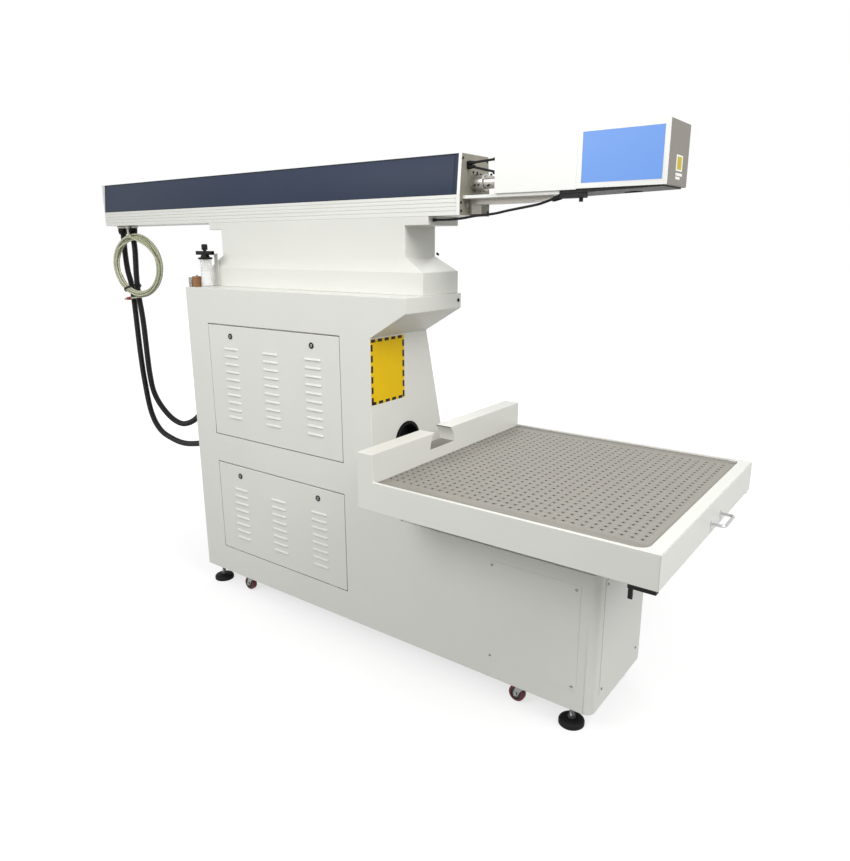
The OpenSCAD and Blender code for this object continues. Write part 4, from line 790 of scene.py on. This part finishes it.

# Quarter-turn locks: a domed head round a slotted plug, whose slot is a black bar of painted shade, and the
# barrel and the cam behind the sheet
for door, bottom, height, _, _ in doors:
    z = bottom + height - lock_drop
    for end, x, behind, ahead_of in (("rear", locks[0], 7, 38), ("front", locks[1], 38, 7)):
        centre = at(x, door_y - 0.3, z)
        name = f"{door}_{end}_lock"
        piece(name + "_form", [
            (lathe([(0, 9), (0, 12), (1.3, 12), (2.5, 11.2), (3, 9.8), (3, 7.4), (1.6, 7), (1.6, 0)], centre,
                   -Y), lock_black),
            (lathe([(1.2, 0), (1.2, 6), (2.3, 6), (2.6, 5.6), (2.6, 0)], centre, -Y, 28), zinc),
            (block((x - 5, door_y - 3.2, z - 0.9), (x + 5, door_y - 2.8, z + 0.9), 0.1, 1), ink_and_shade),
            (lathe([(0, 0), (0, 9), (-17.5, 9), (-17.5, 5), (-25.9, 5), (-25.9, 0)], centre, -Y, 28), zinc),
            (block((x - behind, door_y + 18.6, z - 7), (x + ahead_of, door_y + 21.6, z + 7), 1), zinc)],
            name, (name,))

# ---------- Riser ----------

softened("riser", coat, 2.2, 1200)
plug = lathe([(-1, 0), (-1, 6), (0, 6.6), (2.2, 6.4), (3.4, 5), (3.8, 0)], sides=20)
piece("blanking_plugs", [
    on_places("front_plug", plug, [(230, 95, 1335)], rubber, X),
    on_places("slope_plug", plug, [(132, 102, 1497)], rubber, (X + 0.9 * Z).normalized())])

# ---------- Laser housing ----------

softened("housing_base", anodised, 0.5, 2500)
rear_x, front_x = -1745, 345
panel_foot, panel_head, panel_reach, panel_lean = 1688, 1812, 90, 12 / 112


def slant(side, x0, x1, z0, z1, proud=0.0, thick=2.0):
    """A strip of a side panel, which leans inward as it rises."""
    y0, y1 = (panel_reach - (z - panel_foot) * panel_lean for z in (z0, z1))
    return bar([(side * (y0 + proud), z0), (side * (y1 + proud), z1), (side * (y1 - thick), z1),
                (side * (y0 - thick), z0)], 0, x0, x1, 0.3)


for side, name in ((-1, "near"), (1, "far")):
    piece(f"{name}_side_panel", [
        (slant(side, rear_x + 4, front_x - 17.5, panel_foot + 1, panel_head - 1), navy),
        (slant(side, front_x - 16, front_x - 0.5, panel_foot + 1, panel_head - 1), navy),
        (slant(side, rear_x, front_x, panel_foot, panel_head, -0.8, 1.9), ink_and_shade)],
        cad=("side_panels",))
softened("housing_lid", navy_lid, 0.8, 2500)
softened("end_plates", lit_coat, 0.6, 900,
         pick=lambda spot, normal: normal.x > 0.9 and spot.x > end_face - 7, second=end_grey)
piece("end_plate_screws", screw_heads("end_screw", [(end_face, y, z) for y, z in (
    (-83, 1637), (83, 1637), (-84, 1663), (84, 1663), (-74, 1800), (74, 1800), (-12, 1760), (12, 1760))],
    X, 9, black_steel))
softened("tube_saddles", nylon, 0.8, 200)
beam_z = 1728
tube_start = at(-1595, 0, beam_z)
piece("glass_tube", [
    (lathe([(30, 14), (30, 36), (34, 40), (1826, 40), (1830, 36), (1830, 14)], tube_start, X, 48), glass),
    (lathe([(0, 0), (0, 13), (1, 14), (30, 14), (1830, 14), (1859, 14), (1860, 13), (1860, 0)], tube_start,
           X), glass)], cad=("laser_tube",))

# ---------- Beam path ----------

def beam_screws(profile, stations, angles):
    """Screws that stand out from the beam tube at these stations and angles from the top."""
    return [(lathe(profile, at(x, 0, beam_z), math.sin(a) * Y + math.cos(a) * Z, 14), black_steel)
            for x in stations for a in angles]


piece("beam_tube_stages", [
    (lathe([(0, 12), (0, 27), (1.2, 27), (1.2, 25.8), (3, 25.8), (3, 27), (42.6, 27), (44, 25.6), (44, 21),
            (84, 21), (84.8, 20.2), (87.2, 20.2), (88, 21), (124.4, 21), (125, 20.4), (125, 12)],
           at(end_face, 0, beam_z), X, 56, closed=True), turned)]
    + beam_screws([(26.2, 0), (26.2, 3), (29, 3), (29.5, 2.4), (29.5, 0)], (372, 386), (-0.5, -1.9, 1.4, 2.8))
    + beam_screws([(20.2, 0), (20.2, 3.6), (25.4, 3.6), (26, 3), (26, 0)], (420, 466), (-0.1, -2.1)),
    cad=("beam_tube",))
relief = lathe([(-1, 4.1), (-1, 5.9), (3, 5.9), (4, 5.4), (15, 4.7), (16, 4.1)], sides=24, closed=True)
boot = lathe([(-1, 4.1), (-1, 6.6), (5, 6.6), (6, 7.4), (12, 7.4), (13, 6.4), (26, 5), (28, 4.1)],
             sides=24, closed=True)
piece("lead_reliefs", [
    on_places("relief_ahead", relief, [(230, -60, 1612)], rubber, X),
    on_places("boot_ahead", boot, [(end_face, -47, 1786), (end_face, -46, 1774)], rubber, X),
    on_places("boot_back", boot, [(box_rear, -45, 1792), (box_rear, -46, 1751)], rubber, -X),
    (lathe([(0, 4.1), (0, 6), (8, 7.6), (28, 8.4), (29.5, 8.4), (29.5, 4.1)], at(672, -60, 1661),
           Vector((29, 0, 8)).normalized(), 28, closed=True), nylon)])
softened("support_arm", lit_coat, 0.8, 300,
         pick=lambda spot, normal: spot.z < 1674.5, second=rail_beige)
softened("focus_box", lit_coat, 1.2, 900)
softened("scan_head", grey_coat, 1.2, 900,
         pick=lambda spot, normal: normal.y < -0.9, second=lit_coat)
softened("face_panel", film, 0.3, 900)
piece("head_labels", [
    (block((rear, y0, z0), (face, y1, z1), 0.15, 1), film_of) for rear, face, y0, y1, z0, z1, film_of in (
        (1020.9, 1021.25, -22, 32, 1726, 1768, label), (1021.0, 1021.4, -14, 24, 1730, 1764, label_yellow),
        (1020.9, 1021.25, -20, 36, 1713.5, 1721, label), (1020.9, 1021.25, -20, 18, 1704, 1711, label))])
base_rear, base_front, base_foot, base_thinning = 701, 1009, 1675, 8.5


def thinned(corner):
    """The base plate gets thinner towards the front."""
    if abs(corner.z - base_foot * MM) < 0.0005:
        return corner + at(0, 0, base_thinning * max(corner.x / MM - base_rear, 0) / (base_front - base_rear))
    return corner


softened("head_base_plate", black_steel, 0.6, 200, reshape=thinned)

# ---------- Table ----------

notch_low, notch_high = (224, -134, 822), (285, -30, 890)


def in_notch(spot, normal):
    """Tells the faces inside the notch in the upstand, which take the painted shade."""
    inside = all(low < v < high for low, v, high in zip(notch_low, spot, notch_high))
    return inside and abs(normal.x) < 0.5 and normal.y < 0.3


softened("table_frame", coat, 1.5, 2500, pick=in_notch, second=notch_shade)
softened("scrap_drawer", coat, 0.7, 1200, "drawer")
softened("drawer_runners", black_steel, 0.6, 200)

plate_top = 794
plate_t = 3
plate_rear, plate_front, plate_side = 282.5, 1169.5, 459.5
corner_r = 34
hole_pitch = 27.9
hole_r = 4
columns, rows = 31, 29
field_rear = 297 - hole_pitch / 2
field_side = hole_pitch * rows / 2


def hole_cell():
    """A square of the plate round one hole."""
    h = hole_pitch / 2
    rim = [at(hole_r * math.cos(TURN * (k + 0.5) / 12), hole_r * math.sin(TURN * (k + 0.5) / 12), 0)
           for k in range(12)]
    corners = [at(h, h, 0), at(-h, h, 0), at(-h, -h, 0), at(h, -h, 0)]
    faces = []
    for q in range(4):
        a, b, c, d = ((3 * q + j) % 12 for j in range(4))
        faces += [(a, 12 + q, b), (b, 12 + q, c), (c, 12 + q, 12 + (q + 1) % 4, d)]
    return rim + corners, faces


def margin_shell():
    """The plain margin of the plate round the field of holes, with its rounded front corners."""
    outer = [(plate_rear, -plate_side)]
    for side, start in ((-1, -90), (1, 0)):
        for k in range(13):
            a = math.radians(start + 90 * k / 12)
            outer.append((plate_front - corner_r + corner_r * math.cos(a),
                          side * (plate_side - corner_r) + corner_r * math.sin(a)))
    outer.append((plate_rear, plate_side))
    front = field_rear + hole_pitch * columns
    inner = ([(field_rear + hole_pitch * k, -field_side) for k in range(columns)]
             + [(front, -field_side + hole_pitch * k) for k in range(rows)]
             + [(front - hole_pitch * k, field_side) for k in range(columns)]
             + [(field_rear, field_side - hole_pitch * k) for k in range(rows)])
    flat, triangles = filled(outer, inner)
    return [at(*p, 0) for p in flat], triangles


cells = in_rows("plate_cells", hole_cell(), columns, rows,
                (field_rear + hole_pitch / 2, -field_side + hole_pitch / 2, 0),
                (hole_pitch, 0, 0), (0, hole_pitch, 0), plate_coat)
plate_mesh = as_mesh("perforated_sheet", joined(cells, margin_shell()), plate_coat, hole_shade)
welded(plate_mesh, sheet_weld).transform(Matrix.Translation(at(0, 0, plate_top)))
plate = placed("perforated_sheet", plate_mesh, "frame", ("perforated_plate",), 30)
thickness = plate.modifiers.new("sheet_thickness", "SOLIDIFY")
thickness.thickness = plate_t * MM
thickness.offset = -1
# The rim faces, the walls of the holes among them, take the painted shade
thickness.material_offset_rim = 1

handle_foot, handle_out, handle_low, handle_high, handle_z = 1209, 1250, -18, 86, 732
handle_r, handle_bend = 5, 14
handle_line = [at(handle_foot, handle_low, handle_z)]
for side, y, start in ((-1, handle_low, 0), (1, handle_high, 90)):
    for k in range(13):
        a = math.radians(abs(start - 90 * k / 12))
        handle_line.append(at(handle_out - handle_bend * (1 - math.sin(a)),
                              y - side * handle_bend * (1 - math.cos(a)), handle_z))
handle_line.append(at(handle_foot, handle_high, handle_z))
piece("bow_handle", [(swept(handle_line, lambda i: handle_r, 24), chrome)] + [
    (lathe([(0, handle_r), (0, 10), (1.8, 10), (3, 8.6), (3, handle_r)],
           at(handle_foot + 1, y, handle_z), X, 32), chrome)
    for y in (handle_low, handle_high)], "drawer", ("drawer_handle",))

# ---------- Extraction, power supply, computer and yellow plate ----------

softened("extraction_blower", nylon, 0.8, 300)
softened("laser_power_supply", galvanised, 1.2, 900)
softened("control_computer", case_coat, 1.6, 900)
dashes = ([block((72.9, -216 + k * 37.6, z), (73.3, -192 + k * 37.6, z + 11), 0.1, 1)
           for k in range(5) for z in (975.3, 1199.7)]
          + [block((72.9, y, 979 + k * 38), (73.3, y + 11, 1003 + k * 38), 0.1, 1)
             for k in range(6) for y in (-217.7, -39.3)])
piece("yellow_plate_face", [
    (block((72, -218, 975), (73.1, -28, 1211), 0.4, 1), enamel), (joined(*dashes), ink_and_shade)],
      cad=("yellow_plate",))

# ---------- Feet and castors ----------

row_y = 178
feet = [(x, y, 0) for x in (-910, 878) for y in (-row_y, row_y)]
thread = [(32 + k + share, 8 - deep) for k in range(0, 36, 2) for share, deep in ((0, 0), (0.9, 0.9))]
piece("foot_parts", [
    on_places(name, lathe(profile, sides=sides), feet, material) for name, profile, sides, material in (
        ("foot_pad", [(0, 0), (0, 41.6), (1.4, 43), (12, 43), (14.8, 42), (17.2, 40), (20, 35.5), (22.4, 28),
                      (24, 19), (24.4, 13), (24.4, 0)], 48, rubber),
        ("foot_socket", [(24, 0), (24, 13.4), (30.6, 12.8), (32, 11.4), (32, 0)], 32, grey_nylon),
        ("foot_stem", [(30, 0), *thread, (69, 8), (69, 0)], 20, zinc),
        ("foot_nut", [(68, 7.8), (68, 13.2), (69.4, 15), (78.6, 15), (80, 13.2), (80, 7.8)], 6, zinc))],
      cad=("levelling_feet",))

castors = [(end, side) for end in (-1, 1) for side in (-1, 1)]
castor_spots = [(696 * end, row_y * side, 0) for end, side in castors]
race = lathe([(71, 0), (71, 18.6), (72.4, 20), (76, 20), (76.5, 19), (76.5, 0)], sides=32)
king = lathe([(67, 0), (67, 4.6), (68, 5), (72, 5), (72, 0)], sides=20)
piece("castor_top_plates", [
    on_places("castor_plate", block((-40, -32, 76), (40, 32, 80), 0.8), castor_spots, zinc),
    on_places("castor_race", race, castor_spots, zinc), on_places("castor_king", king, castor_spots, zinc)]
      + screw_heads("castor_bolt", [(x + dx, y + dy, 76) for x, y, _ in castor_spots for dx in (-31, 31)
                                    for dy in (-23, 23)], -Z, 9, zinc),
      cad=("castor_plates",))
wheel_z, trail = 31, 22
for (end, side), (x, y, _) in zip(castors, castor_spots):
    ending = ("rear" if end < 0 else "front") + ("_near" if side < 0 else "_far")
    fork, wheel = "castor_fork_" + ending, "castor_wheel_" + ending
    x_axle = x - trail
    cheek = [(x + 15, 70.7), (x - 15, 70.7), (x - 23, 58), (x - 31, wheel_z + 3), (x - 31, wheel_z - 3),
             (x - 27, wheel_z - 8), (x - 17, wheel_z - 8), (x - 13, wheel_z - 4), (x - 4, 46), (x + 9, 60)]
    centre = at(x_axle, y, wheel_z)
    piece(fork + "_form", [
        (lathe([(67.7, 5.4), (67.7, 17.6), (69, 20), (70.7, 20), (70.7, 5.4)], at(x, y, 0), Z, 36,
               closed=True), zinc),
        (bar(cheek, 1, y - 15, y - 12, 0.7), zinc), (bar(cheek, 1, y + 12, y + 15, 0.7), zinc),
        (lathe([(-17, 0), (-17, 4), (17, 4), (17, 0)], centre, Y, 20), zinc),
        (lathe([(15, 4), (15, 6.2), (15.6, 7), (18.6, 7), (19.2, 6.2), (19.2, 0)], centre, -Y, 6), zinc),
        (lathe([(15, 4), (15, 7), (17.6, 7), (18.6, 5.6), (19, 0)], centre, Y, 24), zinc)],
        fork, (fork,))
    piece(wheel + "_form", [
        (lathe([(-11, 21), (-11, 26.6), (-10.4, 27.8), (-8.8, 29), (-6.6, 29.5), (6.6, 29.5), (8.8, 29),
                (10.4, 27.8), (11, 26.6), (11, 21)], centre, Y, 56, closed=True), tread),
        (lathe([(-11, 4.3), (-11, 8.4), (-10.4, 9), (-7.4, 9.6), (-7.4, 19), (-9, 20.6), (-11, 21), (11, 21),
                (9, 20.6), (7.4, 19), (7.4, 9.6), (10.4, 9), (11, 8.4), (11, 4.3)], centre, Y, 48,
               closed=True), hub)] + [
        (block((x_axle - 0.9, y + f - 0.6, wheel_z + 10), (x_axle + 0.9, y + f + 0.6, wheel_z + 20), 0.3, 1),
         hub) for f in (-8, 8)], wheel, (wheel,))

# ---------- Air filter and valve ----------

deck = 1360
filter_x, filter_y = -882, -165
filter_at = at(filter_x, filter_y, deck)
piece("filter_head_form", [
    (lathe([(114, 0), (114, 28.4), (115, 29), (121, 29), (122, 28), (122, 20), (134, 15), (134, 0)],
           filter_at), nylon),
    (block((-934, -174, deck + 132), (-830, -156, deck + 148), 2.2, 3), nylon),
    (lathe([(52, 0), (52, 6.4), (46, 7.6), (46, 0)], filter_at + at(0, 0, 140), X, 24), nylon),
    (lathe([(148, 0), (148, 7.4), (152, 7), (152, 0)], filter_at, Z, 24), nylon),
    (block((-894, -166, deck + 134), (-870, -108.2, deck + 138), 0.8), coat),
    (block((-894, -111, deck), (-870, -108.2, deck + 138), 0.8), coat)],
    cad=("filter_body",))
piece("filter_bowl_form", [
    (lathe([(0, 0), (0, 20.4), (1, 22.8), (3, 24.4), (6, 25), (113.7, 25), (113.7, 22), (8, 22), (5.4, 20.8),
            (4, 18.6), (4, 0)], filter_at, Z, 48), clear_bowl)], cad=("filter_bowl",))
piece("filter_element", [
    (lathe([(66, 0), (66, 13), (67, 14), (69, 14), (70, 9), (100, 9), (101, 13), (103, 13.6), (113.6, 13.6),
            (113.6, 0)], filter_at, Z, 28), label)])
knob_ribs = circle(Vector((filter_x, filter_y, 0)), X, Y, 11.5, 12)
piece("filter_knob_form", [
    (lathe([(152.3, 0), (152.3, 11), (153.3, 12), (172, 12), (174.5, 11.2), (176, 9.4), (176, 0)],
           filter_at), nylon),
    (lathe([(142.5, 0), (142.5, 4), (153, 4), (153, 0)], filter_at, Z, 20), nylon)]
    + [(block((p.x - 0.9, p.y - 0.9, deck + 154.5), (p.x + 0.9, p.y + 0.9, deck + 171), 0.4, 1), nylon)
       for p in knob_ribs], "filter_knob", ("filter_knob",))
piece("air_valve_form", [
    (block((-954, -206, deck), (-934, -166, deck + 40), 1.2), nickel),
    (block((-934, -203, deck), (-908, -169, deck + 44), 2.4, 3), valve_brown),
    (lathe([(44, 0), (44, 5), (49, 5), (50, 4.2), (50, 0)], at(-921, -186, deck), Z, 24), nickel),
    (lathe([(0, 0), (0, 7), (3, 7), (3.6, 6.2), (3.6, 0)], at(-944, -206, deck + 20), -Y, 6), nickel)],
    cad=("air_valve",))

# ---------- Glands ----------

gland_nut = lathe([(0, 16), (0, 23.6), (1.6, 26), (10.4, 26), (12, 23.6), (12, 16)], sides=6)
gland_cap = lathe([(-7, 14.6), (-7, 15.8), (12, 16), (12, 20.4), (13, 21.6), (15, 22), (26, 22), (27, 21.2),
                   (28, 22), (29, 21.2), (30, 22), (31, 20.8), (38.6, 18.4), (40, 16.8), (40, 14.6)],
                  sides=36, closed=True)
nipple_form = lathe([(-7, 5), (-7, 5.9), (0, 6), (0, 9), (4, 9), (4.8, 7.6), (6.4, 7.6), (7.2, 8.8),
                     (12.6, 8.8), (14, 7.4), (14, 5.1)], sides=28, closed=True)
under_housing = [(-1704, -30, 1624), (-1618, -30, 1624)]
behind_cabinet = [(-960, -60, 640), (-960, 40, 900)]
gland_parts = []
for spots, direction in ((under_housing, -Z), (behind_cabinet, -X)):
    gland_parts += [on_places("gland_nuts", gland_nut, spots, nickel, direction),
                    on_places("gland_caps", gland_cap, spots, nylon, direction)]
gland_parts.append(on_places("hose_nipple", nipple_form, [coil_place(-30, 12, 190) / MM], nickel, -Z))
piece("conduit_glands", gland_parts, cad=("hose_glands",))

# ---------- CAD nodes that stay, in their own finishes ----------

for node, material in (("fixed_optics", optic_mount), ("focus_carriage", optic_mount),
                       ("galvo_motors", nylon), ("x_mirror", mirror), ("y_mirror", mirror)):
    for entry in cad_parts[node].material_slots:
        entry.material = material


# ---------- Floor, backdrop and light ----------

def looked_at(tree):
    """1 for rays that see a thing directly, mirrored or through glass, and 0 for the light it throws back."""
    rays = add(tree, "ShaderNodeLightPath").outputs
    most = rays["Is Camera Ray"]
    for other in ("Is Glossy Ray", "Is Transmission Ray"):
        most = add(tree, "ShaderNodeMath", {0: most, 1: rays[other]}, operation="MAXIMUM").outputs[0]
    return most


def pale_floor():
    """A pale floor that reads white where nothing shades it and still takes the object's shadow."""
    material, tree = blank("pale_floor")
    place = add(tree, "ShaderNodeTexCoord").outputs["Object"]
    mottle = add(tree, "ShaderNodeTexNoise", {"Vector": place, "Scale": 0.8})
    tone = add(tree, "ShaderNodeMapRange", {"Value": mottle.outputs["Fac"], "To Min": 0.84, "To Max": 0.86})
    matte = add(tree, "ShaderNodeBsdfDiffuse", {"Color": tone.outputs["Result"]})
    lift = add(tree, "ShaderNodeEmission", {"Strength": 1.12})
    reach = add(tree, "ShaderNodeVectorMath", {0: place}, operation="LENGTH")
    clear = add(tree, "ShaderNodeMapRange", {
        "Value": reach.outputs["Value"], "From Min": 1.1, "From Max": 2.6, "To Min": 0.62, "To Max": 1.0},
        interpolation_type="SMOOTHSTEP")
    mixed = add(tree, "ShaderNodeMixShader", {
        0: clear.outputs["Result"], 1: matte.outputs["BSDF"], 2: lift.outputs["Emission"]})
    # The light that the floor throws back on the object is duller than the floor looks
    dull = add(tree, "ShaderNodeBsdfDiffuse", {"Color": linear("#8f8f8d")})
    seen = add(tree, "ShaderNodeMixShader", {
        0: looked_at(tree), 1: dull.outputs["BSDF"], 2: mixed.outputs["Shader"]})
    add(tree, "ShaderNodeOutputMaterial", {"Surface": seen.outputs["Shader"]})
    return material


floor_reach = 40
floor_corners = [(x * floor_reach, y * floor_reach, 0) for x, y in ((-1, -1), (1, -1), (1, 1), (-1, 1))]
floor = new_object("floor", as_mesh("floor", (floor_corners, [(0, 1, 2, 3)]), pale_floor()))

world = bpy.data.worlds.new("studio")
bpy.context.scene.world = world
world.use_nodes = True
air = world.node_tree
air.nodes.clear()
# The sky gives the object a little over half of the white that it shows behind it
level_mix = add(air, "ShaderNodeMapRange", {"Value": looked_at(air), "To Min": 0.58, "To Max": 1.0})
sky = add(air, "ShaderNodeBackground", {"Color": linear("#ffffff"), "Strength": level_mix.outputs["Result"]})
add(air, "ShaderNodeOutputWorld", {"Surface": sky.outputs["Background"]})

bpy.context.scene.view_settings.view_transform = "Standard"
middle = Vector((-0.1, 0, 0.95))
# Each lamp's direction from the middle of the machine, its distance and size in metres, and its watts
for name, direction, distance, size, power in (
        ("near_light", Vector((-0.2, -1, 0.6)), 3.4, 1.8, 52),
        ("front_light", Vector((2.3, -0.55, 1.8)), 4.6, 2.4, 112),
        ("far_light", Vector((-0.6, 1, 0.9)), 6.0, 3.0, 50)):
    lamp = bpy.data.lights.new(name, "AREA")
    lamp.shape = "DISK"
    lamp.size = size
    lamp.energy = power
    holder = new_object(name, lamp)
    away = direction.normalized()
    facing = away.to_track_quat("Z", "Y").to_matrix().to_4x4()
    holder.matrix_world = Matrix.Translation(middle + away * distance) @ facing
